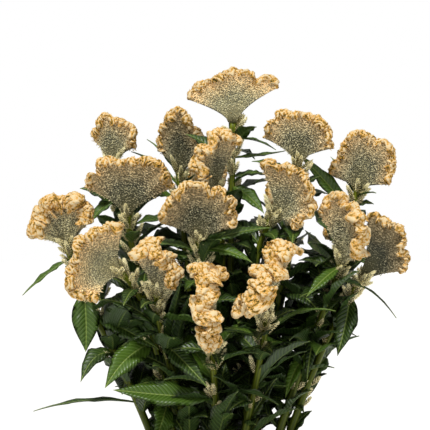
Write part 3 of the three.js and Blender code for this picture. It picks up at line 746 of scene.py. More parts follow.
def rim_measure(crest):
    """Places s along the rim, and the length of rim from the left end to each of them."""
    s = np.linspace(-1, 1, RULER_STEPS)
    u, v, _ = fan_sheet(crest, s, np.ones_like(s))
    return s, np.concatenate([[0], np.cumsum(np.hypot(np.diff(u), np.diff(v)))])


def notches(crest, s):
    """Share of the reach that the rim loses at s: a few bell curves at seeded places."""
    rng = np.random.default_rng(int(crest["phase"] * 1000))
    lost = np.zeros_like(s)
    for place in rng.uniform(*NOTCH["places"], NOTCH["count"]):
        width = rng.uniform(*NOTCH["widths"])
        depth = NOTCH["deepest"] * rng.uniform(*NOTCH["depths"])
        lost = lost + depth * np.exp(-((s - place) / width) ** 2)
    return lost


def wandering(turn, rate, depth, phase=0.0):
    """Turns that run ahead and fall behind with a slower sine, so that waves differ in length."""
    return turn + depth * np.sin(rate * turn + phase)


def comb_line(crest):
    """Where the comb runs: for each column its place s, the distance along the rim, half the oval's
    width and height, its shift and tilt to the front, the reach of its centre and lower edge. At
    both ends the oval shrinks as the slices of a ball do, with sqrt(1 - (1 - d / width)^2)."""
    phase = crest["phase"]
    s_known, length_known = rim_measure(crest)
    length = length_known[-1]
    along = np.linspace(0, length, int(length / crest["spacing"]))
    s = np.interp(along, length_known, s_known)
    half = np.interp(s, RIM_PLACES, WIDE_COMBS.get(crest["name"], (COMB["half"],) * 3))
    wide = half / COMB["half"]
    plump = min(1, (wide.mean() - 1) / (FOLDS["plump_at"] - 1))
    turn = 2 * math.pi * along / (COMB["lobe_pitch"] * wide.mean() ** GROWTH["pitch"]) + phase
    turn = wandering(turn, *LOBES["wander"], 2 * phase)
    lobe = LOBES["first"] * np.sin(turn) + LOBES["second"] * np.sin(LOBES["second_rate"] * turn + 1)
    small = wandering(2 * math.pi * along / COMB["scallop_pitch"], *SCALLOP_WANDER)
    scallop = blend_between(*FOLDS["scallop"], plump) * np.sin(small + 2 * phase)
    to_end = np.minimum(along, length - along) / (COMB["rounding"] * half)
    ends = np.sqrt(np.maximum(1 - (1 - np.clip(to_end, 0, 1)) ** 2, COMB["least_end"]))
    swell = (1 + blend_between(*FOLDS["lobe"], plump) * lobe + scallop) * ends
    up = COMB["up"] * HIGH_COMBS.get(crest["name"], 1) * swell * wide ** GROWTH["up"]
    half = half * swell
    bend = np.interp(s, RIM_PLACES, BENDS.get(crest["name"], (0, 0, 0)))
    shift = (bend + COMB["sway"] * wide * np.sin(0.5 * turn + 3 * phase)) * ends
    slow = np.sin(LOBES["tilt_rate"] * turn + 4 * phase)
    tilt = crest["facing"] * (COMB["tilt"] + COMB["tilt_range"] * slow) * wide ** GROWTH["tilt"]
    ray = np.linalg.norm(np.stack(fan_sheet(crest, s, np.ones_like(s)), -1), axis=-1)
    dip = COMB["dip"] * wide ** GROWTH["dip"] * np.clip(-lobe, 0, 1) ** 2
    ridge = COMB["ridge"] * wide.mean() ** GROWTH["ridge"]
    high = np.hypot(up * np.cos(tilt), half * np.sin(tilt))
    edge = COMB["edge"] - COMB["inset"] * (wide.mean() - 1) * (1 - s ** 2)
    centre = edge - notches(crest, s) - (high + ridge + dip) / ray
    return {
        "s": s, "along": along, "half": half, "up": up, "shift": shift, "tilt": tilt,
        "centre": centre, "lower": centre + up * math.cos(COMB["turn"]) / ray, "ends": ends,
        "ridge": ridge, "swell": swell, "plump": plump,
    }


def comb_rings(crest, line):
    """Corners of the comb, for each column a ring from its front to its back, with their share of
    the way up the fan and the height of the folds there. In the oval the angle starts and ends
    below the widest place, and the folds fade out there, where the comb meets the body."""
    ends = line["ends"][:, None]
    place, _, across, normal = sheet_frame(crest, line["s"], line["centre"])
    outward = unit(np.cross(normal, across))
    middle = place + normal * line["shift"][:, None]
    cos, sin = np.cos(line["tilt"])[:, None], np.sin(line["tilt"])[:, None]
    normal, outward = normal * cos - outward * sin, outward * cos + normal * sin
    span = 2 * COMB["turn"] * np.sqrt((line["half"] ** 2 + line["up"] ** 2) / 2).mean()
    rows = 2 * int(span / crest["spacing"] / 2) + 1
    angle = np.linspace(COMB["turn"], -COMB["turn"], rows)[None, :, None]
    half, up = line["half"][:, None, None], line["up"][:, None, None]
    normal, outward = normal[:, None], outward[:, None]
    blunt = np.sign(np.cos(angle)) * np.abs(np.cos(angle)) ** COMB["blunt"]
    oval = normal * half * np.sin(angle) + outward * up * blunt
    out = unit(normal * np.sin(angle) / half + outward * np.cos(angle) / up)
    steps = np.linalg.norm(np.diff(oval, axis=1), axis=-1)
    measure = np.concatenate([0 * ends, np.cumsum(steps, 1)], 1)
    measure = (measure - measure[:, rows // 2][:, None]) / line["swell"][:, None]
    names = ("lumps", "power", "scale")
    lumps, power, scale = (blend_between(*FOLDS[name], line["plump"]) for name in names)
    seed = COMB["stretch"] * crest["phase"]
    x, y = line["along"][:, None] + seed, measure + 3 * seed
    ridges = look_up(RIDGES, x * scale, y * scale) ** power
    height = blend_between(ridges, lumps_at(middle[:, None] + oval + seed), lumps)
    fade = smooth_step(*COMB["fade"], np.abs(np.linspace(-1, 1, rows)))[None, :] * ends
    comb = middle[:, None] + oval + out * (line["ridge"] * height * fade)[..., None]
    low, rise = COMB["rim"]
    return comb, np.broadcast_to(low + rise * np.cos(angle[..., 0] / 2), height.shape), height


def body_half(half, share):
    """Half the thickness of a fan's body at a share of the way from its foot to a comb of this
    half width, which the body thickens to meet."""
    neck = np.maximum(FAN["rim_half"], COMB["neck"] * half)
    return blend_between(FAN["foot_half"], neck, share ** FAN["thinning"])


def body_sides(crest, line):
    """Corners of the front and the back of a fan's body, and their reach."""
    share = BODY[None, :]
    reach = share * line["lower"][:, None]
    here, _, _, facing = sheet_frame(crest, line["s"][:, None], reach)
    thick = body_half(line["half"][:, None], share) * line["ends"][:, None]
    here = here + facing * line["shift"][:, None, None] * share[..., None] ** 4
    return here + facing * thick[..., None], here - facing * thick[..., None], reach


def crest_grid(crest):
    """Corners of a crest's skin: for each column, a ring up the front, round the comb and down the
    back, and for each corner how far up the fan it is, how deep in a crease, and if it is comb."""
    line = comb_line(crest)
    comb, on_comb, height = comb_rings(crest, line)
    front, back, reach = body_sides(crest, line)
    ring = np.concatenate([front, comb, back[:, ::-1]], 1)
    bare, full = np.zeros_like(reach), np.ones_like(height)
    rim = np.concatenate([reach, on_comb, reach[:, ::-1]], 1)
    crease = np.concatenate([bare, 1 - height, bare], 1)
    return ring, rim, crease, np.concatenate([bare, full, bare], 1)


def to_world(crest, own):
    """Points given along a crest's u, v and n, moved out to where the crest stands."""
    axes = np.stack([crest["u"], crest["v"], crest["n"]])
    return crest["foot"] + own @ axes


def crest_skin(crest, rng):
    """The closed skin of a crest with its values. Grain and tone are for the comb alone."""
    ring, rim, crease, folded = crest_grid(crest)
    columns, sides = rim.shape
    ring = ring + rng.normal(0, COMB["grain"], ring.shape) * folded[..., None]
    values = {
        "rim": rim.ravel(), "crease": crease.ravel(), "glow": np.full(rim.size, crest["glow"]),
        "tone": rng.uniform(0, 1, rim.size) ** 2 * folded.ravel(),
    }
    ends = on_both_ends(end_strips(sides), columns, sides)
    faces = np.concatenate([tube_faces(columns, sides), ends])
    return {"points": to_world(crest, ring.reshape(-1, 3)), "faces": faces, "values": values}


def end_strips(sides):
    """Strips that close an end ring, where point k of the front lies opposite point
    sides - 1 - k of the back and the middle point is the tip."""
    half = sides // 2
    k = np.arange(half - 1)
    strips = np.stack([k, k + 1, sides - 2 - k, sides - 1 - k], -1)
    return np.concatenate([strips, [[half - 1, half, half + 1, half + 1]]])


for plant in plants:
    crest = plant["crest"]
    crest["rim_length"] = rim_measure(crest)[1][-1]
    crest["facing"] = -1 if at_rear(crest) else 1
    crest["spacing"] = COMB["rear_spacing" if at_rear(crest) else "spacing"]
    crest["glow"] = CREST_PAINTED_LIGHT.get(plant["name"], 1)
rims = [plant["crest"]["rim_length"] for plant in plants]
print("rims from", round(min(rims)), "to", round(max(rims)), "mm")

# %% [markdown]
# ## Florets
#
# The body of a fan is crowded with tiny papery flowers. Each one is a slim pyramid of four faces
# that leans towards the rim. They are spread by the golden ratio, which never lets two of them
# line up: floret i stands at the fraction of i times 0.618 across the fan, and its reach grows so
# that each one has about the same room. Towards the rim they are larger and paler. The side of a
# fan that faces out of the bush gets more.

# %% Florets
# Room, stray and sizes are in millimetres. Pairs are ranges of draws, except for grown and paler,
# which run from the foot of the fan to its rim
FLORET = {
    "outer_room": 1.22, "inner_room": 1.75, "rear": 1.3, "stray": 0.6, "edge": 0.97,
    "crowding": 0.42, "lowest": 0.02, "reach": 1.04, "lean": 1.1, "lift": 1.2, "lifts": (0.6, 1.5),
    "sunk": 0.25, "grown": (0.75, 1.7), "length": 1.75, "lengths": (0.6, 1.3), "width": 1.35,
    "widths": (0.8, 1.2), "pleat_shading": 0.3, "tones": (0.2, 1.3), "paler": (1.0, 1.35),
}
# How pale the corners of a floret are: left and right of its foot, its back and its tip. The dark
# foot is painted shade among the crowded florets
FLORET_SHADING = np.array([0.25, 0.25, 1.0, 1.2])
FLORET_HEIGHT = 0.45
GOLDEN = (math.sqrt(5) - 1) / 2


def pyramids(base, along, out, length, width, sunk):
    """Slim pyramids: left and right of each base point, a back that stands out by a share of the
    width, and a tip at length along the floret."""
    heel = base - out * sunk
    half = unit(np.cross(along, out)) * width[:, None] / 2
    back = base + out * width[:, None] * FLORET_HEIGHT
    tip = base + along * length[:, None]
    points = np.stack([heel - half, heel + half, back, tip], 1).reshape(-1, 3)
    start = np.arange(len(base))[:, None, None] * 4
    corners = np.array([[0, 2, 1], [0, 1, 3], [1, 2, 3], [2, 0, 3]])[None]
    return points, (start + corners).reshape(-1, 3)


def floret_values(rim, tone, corner_shading, glow):
    """The values of pyramids, each corner's from its floret's. Florets have no creases."""
    corners = 4 * len(rim)
    return {
        "rim": np.repeat(rim, 4), "crease": np.zeros(corners),
        "tone": (tone[:, None] * corner_shading).ravel(), "glow": np.full(corners, glow),
    }


def fan_florets(crest, side, rng):
    """Florets on one side of a fan's body, up to the lower edge of the comb."""
    line = comb_line(crest)
    area = 0.5 * crest["rim_length"] * crest["height"] * line["lower"].mean() ** 2
    room = FLORET["outer_room" if side == crest["facing"] else "inner_room"]
    room = room * (FLORET["rear"] if at_rear(crest) else 1)
    count = int(area / room ** 2)
    i = np.arange(count)
    s = (2 * np.mod(i * GOLDEN + rng.uniform(), 1) - 1) * FLORET["edge"]
    share = ((i + 0.5) / count) ** FLORET["crowding"]
    s = s + rng.normal(0, FLORET["stray"], count) / crest["half_width"]
    share = share + rng.normal(0, FLORET["stray"], count) / crest["height"]
    share = np.clip(share, FLORET["lowest"], 1)
    reach = share * np.interp(s, line["s"], line["lower"]) * FLORET["reach"]
    here, upward, across, normal = sheet_frame(crest, s, reach)
    here = here + normal * (np.interp(s, line["s"], line["shift"]) * share ** 4)[:, None]
    out = normal * side
    thick = body_half(np.interp(s, line["s"], line["half"]), share)
    base = here + out * thick[:, None]
    jitter = rng.normal(0, FLORET["lean"], count)[:, None]
    lift = out * FLORET["lift"] * rng.uniform(*FLORET["lifts"], (count, 1))
    along = unit(upward + across * jitter + lift)
    grown = blend_between(*FLORET["grown"], share ** 2)
    length = FLORET["length"] * grown * rng.uniform(*FLORET["lengths"], count)
    width = FLORET["width"] * np.sqrt(grown) * rng.uniform(*FLORET["widths"], count)
    points, faces = pyramids(base, along, out, length, width, FLORET["sunk"])
    # Painted shade in the valleys of the pleats and painted light on their ridges: the florets'
    # tone follows the pleats' sine
    pleat_shading = 1 + FLORET["pleat_shading"] * np.sin(math.pi * pleat_count(crest) * s + crest["phase"]) * share
    tone = rng.uniform(*FLORET["tones"], count) * pleat_shading * blend_between(*FLORET["paler"], share)
    values = floret_values(reach, tone, FLORET_SHADING, crest["glow"])
    return {"points": to_world(crest, points), "faces": faces, "values": values, "smooth": False}


def build_crest(plant):
    """A crest as one piece: its skin, and the florets on both sides of the body."""
    crest = plant["crest"]
    rng = np.random.default_rng(SEEDS["crests"] + plant["index"])
    parts = [crest_skin(crest, rng)]
    parts += [fan_florets(crest, side, rng) for side in (1, -1)]
    node = f"crest_{plant['name']}"
    piece = make_mesh(f"fan_{plant['name']}", parts, CREST_VELVET)
    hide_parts(node)
    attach(piece, "root")
    return piece


fans = [build_crest(plant) for plant in plants]
largest = max(count_triangles([fan]) for fan in fans)
print("crest triangles:", count_triangles(fans), "of which the largest has", largest)

# %% [markdown]
# ## Stalks
#
# A celosia stalk is ridged, like a bundle of rods. Its surface is a ring carried along the centre
# line: at angle a the radius is 0.94 of the solid's times 1 + 0.07 cos 6a, and it widens below the
# crest that it turns into.

# %% Stalks
STALK = {
    "rings": 44, "sides": 12, "ridges": 6, "ridge": 0.07, "girth": 0.94, "buried": 12,
    "flare": 1.5, "flare_from": 0.88,
}
STALK_COLOURS = palette(ridge="77871c", groove="364b0b", blush="77711e", low="2c400c")
STALK_FINISH = {
    "mottling": (70, 700, 0.5), "blush": 0.6, "low": (-0.7, 0.7), "bump": (0.4, 0.5),
    "sockets": {"Roughness": 0.5, "Specular IOR Level": 0.25},
}


def stalk_material():
    """Green ridges with dark grooves, blushed in patches and darker near the soil."""
    material, tree, shader = new_tree("stalk_green")
    c, finish = STALK_COLOURS, STALK_FINISH
    ridge, height = value_of(tree, "ridge"), value_of(tree, "height")
    share = mottled(tree, *finish["mottling"])
    striped = mix_colours(tree, ridge, c["groove"], c["ridge"])
    blush = math_node(tree, "MULTIPLY", share, finish["blush"])
    blushed = mix_colours(tree, blush, striped, c["blush"])
    low = math_node(tree, "MULTIPLY_ADD", height, *finish["low"])
    tree.links.new(mix_colours(tree, low, blushed, c["low"]), shader.inputs["Base Color"])
    set_sockets(shader, finish["sockets"])
    add_bump(tree, shader, share, *finish["bump"])
    return material


def ring_frames(along):
    """Two directions across each tangent, level where they can be."""
    side = unit(np.cross(along, np.array([0, 1, 0.2])))
    return side, np.cross(along, side)


def stalk_part(plant):
    """A stalk from below the soil to the crest: a ring of points round each place of the line."""
    t = np.linspace(0, 1, STALK["rings"])
    line = plant["line"]
    start = bezier_tangent(line, 0)
    centre = np.concatenate([bezier(line, 0) - start * STALK["buried"], bezier(line, t)])
    along = np.concatenate([start, bezier_tangent(line, t)])
    t = np.concatenate([[0], t])
    side, over = (axis[:, None] for axis in ring_frames(along))
    angle = round_angles(STALK["sides"])
    radius = blend_between(STEM["root_radius"], STEM["neck_radius"], t)
    radius = radius + STALK["flare"] * smooth_step(STALK["flare_from"], 1.0, t)
    ridge = 0.5 + 0.5 * np.cos(STALK["ridges"] * angle)
    swell = 1 - STALK["ridge"] + 2 * STALK["ridge"] * ridge[None, :]
    reach = radius[:, None] * swell * STALK["girth"]
    points = centre[:, None] + turned_to(angle, side, over) * reach[..., None]
    values = {"ridge": np.tile(ridge, len(t)), "height": np.repeat(t, STALK["sides"])}
    return tube_part(points, values)


STALK_GREEN = stalk_material()
stalks = []
for plant in plants:
    stalk = make_mesh(f"stalk_{plant['name']}", [stalk_part(plant)], STALK_GREEN)
    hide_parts(f"stem_{plant['name']}")
    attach(stalk, "root")
    stalks.append(stalk)
print("stalk triangles:", count_triangles(stalks))

# %% [markdown]
# ## Where the leaves stand
#
# The solids hold two kinds of leaves: those that the photo shows, each with its own tip, and those
# that a rule puts up the stem a golden angle apart. A leaf that would have crossed another node
# was turned, raised or shortened there, and some were left out. Which of these was done shows in
# the solid itself, because a leaf's tip is a corner of its node's mesh. So each leaf is worked
# out in every way that it may have been changed, and the one whose tip is there is kept.

# %% Where the leaves stand
LEAF = {
    "ruler_steps": 201, "pitch": 28, "first_at": 24, "last_at": 26, "longest": 90, "shortest": 46,
    "slenderness": 0.36, "least_size": 0.85, "size_range": 0.3, "climb_range": 45,
    "roll_range": 60, "arch": 0.2,
}
GOLDEN_ANGLE = math.radians(137.5)
SEEN_COLUMNS = ("stem", "at", "tip", "width", "arch", "roll")
SEEN_ROWS = [
    ("far_left", 0.93, (-198, -22, 307), 13, 6, 10),
    ("far_left", 0.24, (-189, -14, 189), 11, 12, 10),
    ("far_left", 0.44, (-140, -34, 222), 22, 22, 20),
    ("far_left", 0.74, (-136, -16, 249), 28, 2, 10),
    ("far_left", 0.62, (-61, -58, 258), 20, 8, 40),
    ("back_left", 0.96, (-78, 84, 457), 9, 8, 0),
    ("back_left", 0.92, (-93, 50, 446), 12, 9, 20),
    ("top", 0.93, (54, 4, 450), 11, 9, 0),
    ("top", 0.86, (64, 24, 448), 9, -2, 20),
    ("top", 0.79, (47, 30, 423), 12, 4, 20),
    ("top", 0.76, (42, -6, 387), 17, 7, 30),
    ("right", 0.87, (77, 6, 446), 18, -3, 60),
    ("right", 0.96, (98, 30, 443), 10, 2, 20),
    ("right", 0.94, (153, -12, 408), 8, 6, 0),
    ("far_right", 0.95, (174, -14, 283), 7, 10, 0),
    ("far_right", 0.86, (114, -34, 248), 25, 4, 10),
    ("upper_left", 0.83, (-135, 28, 373), 14, 6, 30),
    ("centre", 0.96, (48, -52, 377), 16, 9, 30),
    ("centre", 0.93, (29, -70, 345), 17, 6, 30),
    ("centre", 0.9, (-68, -60, 361), 14, 7, 20),
    ("front_right", 0.82, (110, -62, 297), 11, 17, 10),
    ("front_right", 0.78, (2, -100, 286), 9, 6, 20),
    ("front_right", 0.74, (-1, -84, 257), 7, -2, 20),
    ("front_right", 0.7, (47, -112, 265), 13, 8, 40),
    ("front_right", 0.24, (53, -66, 232), 18, 2, 60),
    ("low_right", 0.95, (81, -66, 311), 15, 9, 20),
    ("low_right", 0.62, (83, -52, 227), 12, 4, 10),
    ("low_right", 0.48, (62, -52, 210), 15, 6, 10),
    ("front", 0.5, (-105, -92, 225), 28, 4, 45),
    ("low_inner_left", 0.64, (-14, -112, 231), 21, 12, 30),
    ("low_inner_left", 0.55, (-46, -92, 333), 15, 0, 15),
    ("low_inner_left", 0.5, (-31, -82, 316), 20, 0, 15),
    ("low_left", 0.52, (-113, -84, 225), 26, 10, 40),
    ("low_left", 0.26, (-64, -70, 172), 28, 8, 50),
]
SEEN_LEAVES = [dict(zip(SEEN_COLUMNS, row)) for row in SEEN_ROWS]
# How much lighter a leaf that the photo shows is painted, as light falls on it in the open
LIGHTER = 0.25
# Turn and raise in degrees, and the share of the size, of each way that a leaf may be changed
LEAF_TRIES = [
    (0, 0, 1), (12, 0, 1), (-12, 0, 1), (0, 12, 0.95), (0, -12, 0.95), (25, 0, 0.95),
    (-25, 0, 0.95), (20, 14, 0.85), (-20, 14, 0.85), (40, 0, 0.8), (-40, 0, 0.8), (0, 25, 0.7),
    (60, 10, 0.7), (-60, 10, 0.7), (90, 10, 0.6), (-90, 10, 0.6),
]
SPIKE = {
    "places": (0.85, 0.95), "lift": 0.75, "shortest": 12, "longest": 19, "radius": 2.7,
}
# A corner this near to a leaf's tip, in millimetres, is that tip
CLOSE = 0.1


def node_corners(node):
    """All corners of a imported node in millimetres."""
    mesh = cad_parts[node].data
    flat = np.empty(3 * len(mesh.vertices), np.float32)
    mesh.vertices.foreach_get("co", flat)
    return flat.reshape(-1, 3) / MM


def is_corner(corners, place):
    """True where one of the corners is at the place, as near as CLOSE in each direction."""
    return np.abs(corners - place).max(1).min() < CLOSE


def reach_of(length, azimuth, climb):
    """The step from a leaf's base to its tip."""
    level, rise = length * math.cos(climb), length * math.sin(climb)
    return np.array([level * math.cos(azimuth), level * math.sin(azimuth), rise])


def ruled_leaves(plant):
    """Leaves up a stem at an even pitch, each a golden angle on from the last."""
    index = plant["index"]
    length = line_length(plant["line"], LEAF["ruler_steps"])
    places = np.arange(LEAF["first_at"], length - LEAF["last_at"] + 1e-9, LEAF["pitch"])
    leaves = []
    for k, t in enumerate(places / length):
        share = LEAF["least_size"] + LEAF["size_range"] * draw(index, k + DRAWS["leaf_size"])
        size = blend_between(LEAF["longest"], LEAF["shortest"], t) * share
        azimuth = k * GOLDEN_ANGLE + 2 * math.pi * draw(index, DRAWS["first_azimuth"])
        climb = math.radians(LEAF["climb_range"] * draw(index, k + DRAWS["leaf_climb"]))
        roll = LEAF["roll_range"] * (draw(index, k + DRAWS["leaf_roll"]) - 0.5)
        leaves.append({
            "at": t, "reach": reach_of(size, azimuth, climb), "roll": math.radians(roll),
            "width": size * LEAF["slenderness"], "arch": size * LEAF["arch"],
        })
    return leaves


def seen_leaves(plant):
    """Leaves of a stem that the photo shows. The roll turns the upper face to the front."""
    leaves = []
    for leaf in SEEN_LEAVES:
        if leaf["stem"] == plant["name"]:
            reach = np.array(leaf["tip"], float) - bezier(plant["line"], leaf["at"])[0]
            roll = math.radians(leaf["roll"]) * np.sign(reach[0])
            leaves.append({**leaf, "reach": reach, "roll": roll, "light": LIGHTER})
    return leaves


def placed_leaf(plant, leaf, corners):
    """The leaf as the solid has it, or None where it was left out."""
    base = bezier(plant["line"], leaf["at"])[0]
    length = np.linalg.norm(leaf["reach"])
    azimuth = math.atan2(leaf["reach"][1], leaf["reach"][0])
    climb = math.asin(leaf["reach"][2] / length)
    for turn, raised, size in LEAF_TRIES:
        reach = reach_of(length * size, azimuth + math.radians(turn), climb + math.radians(raised))
        if is_corner(corners, base + reach):
            scaled = {key: leaf[key] * size for key in ("width", "arch")}
            return {**leaf, **scaled, "base": base, "tip": base + reach}
    return None


def placed_spikes(plant, corners):
    """The flower spikes that the solid has beside the crest's foot."""
    spikes = []
    for k, t in enumerate(SPIKE["places"]):
        azimuth = 2 * math.pi * draw(plant["index"], k + DRAWS["spike_azimuth"])
        outward = np.array([math.cos(azimuth), math.sin(azimuth), 0])
        along = unit(bezier_tangent(plant["line"], t)[0] * SPIKE["lift"] + outward)
        share = draw(plant["index"], k + DRAWS["spike_length"])
        length = blend_between(SPIKE["shortest"], SPIKE["longest"], share)
        base = bezier(plant["line"], t)[0]
        spike = {"base": base, "along": along, "length": length, "radius": SPIKE["radius"]}
        if is_corner(corners, base + along * length):
            spikes.append(spike)
    return spikes


for plant in plants:
    corners = node_corners(f"stem_{plant['name']}")
    seen, ruled = seen_leaves(plant), ruled_leaves(plant)
    found = [placed_leaf(plant, leaf, corners) for leaf in seen + ruled]
    plant["leaves"] = [leaf for leaf in found if leaf]
    plant["spikes"] = placed_spikes(plant, corners)
for key in ("leaves", "spikes"):
    print(f"{key}:", sum(len(plant[key]) for plant in plants))

# %% [markdown]
# ## Leaves
#
# A celosia leaf is a thin lance-shaped blade, keeled along its midrib, puffed on both sides of it
# and waved at its edges. Its skin is a closed ring of points carried from base to tip: over the
# top from edge to edge, and back underneath. The side veins are too fine for the mesh, so the
# blade carries its own ruler: run is the distance from the base and beside the distance from the
# midrib, both in millimetres, and the material draws the veins with them.

# %% Leaves
BLADE = {
    "stations": 13, "thickness": 0.5, "rib": 0.9, "petiole": 1.1, "belly": 0.85, "fullness": 1.12,
    "keel": 0.22, "puff": 0.1, "wave": 0.16, "waves": 3.2, "edge_lag": (1, 3), "sway": 0.05,
    "twist": 14, "twist_about": 0.4, "rib_taper": 0.7, "rib_half": 0.2,
}
# Where the corners of a ring stand across the blade, from its left edge to its right one
ACROSS = np.array([-1, -0.58, -0.12, 0, 0.12, 0.58, 1])
LEAF_COLOURS = palette(
    shade="0d170b", deep="1e300c", lit="4b681a", vein="66803a", rib="8a9c4c", under="3c542a",
)
# Both the veins and the midrib fade out from the first measure to the second
VEINS = {
    "spacing": 4.6, "slant": 0.75, "curve": 0.035, "width": (0.03, 0.16), "rib": (0.35, 0.95),
}
# How far the mottling pushes the veins, in millimetres, and how strong each colour and relief is
LEAF_FINISH = {
    "mottling": (45, 500, 0.35), "push": 2.0, "light": (1.6, -0.55), "roughness": (0.3, 0.24),
    "lit": 0.35, "vein": 0.42, "rib": 0.5, "under": 0.45, "puff": 1.6, "bump": (0.6, 0.8),
    "ground": ((0.0, "shade"), (0.45, "deep"), (1.0, "lit")),
    "sockets": {"Specular IOR Level": 0.35},
}


def leaf_material():
    """Green from dark to lit by tone. Side veins lie where run - (slant + curve |beside|) |beside|,
    pushed a little by the mottling, is a whole number of spacings, and the midrib where beside
    is near 0. The vein's phase also bumps the blade up between the veins."""
    material, tree, shader = new_tree("leaf_green")
    c, finish = LEAF_COLOURS, LEAF_FINISH
    names = ("run", "beside", "under", "tone")
    run, beside, under, tone = (value_of(tree, name) for name in names)
    share = mottled(tree, *finish["mottling"])
    off = math_node(tree, "ABSOLUTE", beside)
    curve = math_node(tree, "MULTIPLY_ADD", off, VEINS["curve"], VEINS["slant"])
    start = math_node(tree, "SUBTRACT", run, math_node(tree, "MULTIPLY", off, curve))
    start = math_node(tree, "ADD", start, math_node(tree, "MULTIPLY", share, finish["push"]))
    phase = math_node(tree, "PINGPONG", math_node(tree, "DIVIDE", start, VEINS["spacing"]), 0.5)
    vein = fade_node(tree, phase, *VEINS["width"], 1.0, 0.0)
    rib = fade_node(tree, off, *VEINS["rib"], 1.0, 0.0)
    colour = ramp(tree, tone, c, finish["ground"])
    light = math_node(tree, "MULTIPLY_ADD", share, *finish["light"])
    for name, where in (("lit", light), ("vein", vein), ("rib", rib), ("under", under)):
        strength = math_node(tree, "MULTIPLY", where, finish[name])
        colour = mix_colours(tree, strength, colour, c[name])
    tree.links.new(colour, shader.inputs["Base Color"])
    rough = math_node(tree, "MULTIPLY_ADD", share, *finish["roughness"])
    tree.links.new(rough, shader.inputs["Roughness"])
    set_sockets(shader, finish["sockets"])
    puffed = math_node(tree, "SUBTRACT", math_node(tree, "MULTIPLY", phase, finish["puff"]), rib)
    add_bump(tree, shader, puffed, *finish["bump"])
    return material


def blade_part(leaf, rng):
    """A blade: at share t of its curve the half width is w/2 sin(pi t^belly)^fullness and a bit of
    petiole, and a point at share x of it stands up by the keel |x|, the puff sin(pi |x|) and
    the wave x^2 sin(waves), each a share of the half width."""
    t = np.linspace(0, 1, BLADE["stations"])
    middle = (leaf["base"] + leaf["tip"]) / 2 + np.array([0, 0, leaf["arch"]])
    line = [leaf["base"], middle, leaf["tip"]]
    centre, along = bezier(line, t), bezier_tangent(line, t)
    length = np.linalg.norm(leaf["tip"] - leaf["base"])
    level = unit(np.cross(along, np.array([0, 0, 1.0])))
    up = np.cross(level, along)
    twist = math.radians(BLADE["twist"]) * rng.uniform(-1, 1) * (t - BLADE["twist_about"])
    roll = (leaf["roll"] + twist)[:, None]
    side, face = level * np.cos(roll) - up * np.sin(roll), up * np.cos(roll) + level * np.sin(roll)
    form = np.clip(np.sin(math.pi * t ** BLADE["belly"]), 0, 1) ** BLADE["fullness"]
    half = (leaf["width"] / 2 * form + BLADE["petiole"] / 2 * (1 - t))[:, None]
    t = t[:, None]
    x = np.concatenate([ACROSS, ACROSS[-2:0:-1]])[None, :]
    below = np.concatenate([np.zeros(len(ACROSS)), np.ones(len(ACROSS) - 2)])[None, :]
    lag = rng.uniform(0, 2 * math.pi) + np.where(x < 0, rng.uniform(*BLADE["edge_lag"]), 0)
    wave = np.sin(2 * math.pi * BLADE["waves"] * t + lag) * x ** 2 * BLADE["wave"]
    lift = half * (BLADE["keel"] * np.abs(x) + BLADE["puff"] * np.sin(math.pi * np.abs(x)) + wave)
    rib = BLADE["rib"] * (1 - BLADE["rib_taper"] * t) * (np.abs(x) < BLADE["rib_half"])
    skin = BLADE["thickness"] * np.where(np.abs(x) == 1, 0, 0.5) * (1 - 2 * below)
    lift = lift + skin - below * rib
    sway = BLADE["sway"] * rng.uniform(-1, 1) * length * np.sin(math.pi * t)
    points = centre[:, None] + side[:, None] * (half * x + sway)[..., None]
    points = points + face[:, None] * lift[..., None]
    ones = np.ones(lift.shape)
    values = {
        "run": (t * length * ones).ravel(), "beside": (half * x).ravel(),
        "under": (below * ones).ravel(), "tone": (leaf["tone"] * ones).ravel(),
    }
    return tube_part(points, values)


# %% [markdown]
# ## Young leaves
#
# Between the large leaves the real bush is full of smaller ones, on short side shoots. They are
# what makes its inside dark. The rule is the same: up each stem at an even pitch and a golden
# angle apart, with a seeded draw for size, turn, climb and roll.

# %% Young leaves
# Their sizes at the first, fullest and last place up the stem, and the ranges of the draws
YOUNG = {
    "ruler_steps": 50, "pitch": 13, "rear_pitch": 10, "places": (0.08, 0.45, 0.92),
    "sizes": (54, 84, 38), "rear": 1.3, "least": 18, "slenderness": 0.41, "arch": 0.2,
    "scales": (0.6, 1.15), "turns": (0, 0.8), "climbs": (-20, 55), "rolls": (-35, 35),
}
# A leaf's tone is painted light and shade with a random spread: its least, how it rises with the
# height of its tip from this height over this stretch, and the spread
TONE = {"least": 0.22, "rise": 0.3, "from": 200, "over": 250, "spread": 0.2}
# The bush is a bowl: its radius at some heights, and how much flatter it is from front to back
BUSH = {"heights": (140, 175, 220, 270, 330), "radii": (60, 72, 105, 132, 150), "depth": 1.1}


def inner_share(base, reach):
    """The share of a leaf that stays inside the bush, whose radius depends on the height."""
    tip = base + reach
    room = np.interp(tip[2], BUSH["heights"], BUSH["radii"])
    beyond = math.hypot(tip[0], tip[1] * BUSH["depth"]) - room
    return 1 - max(0.0, beyond) / np.linalg.norm(reach)


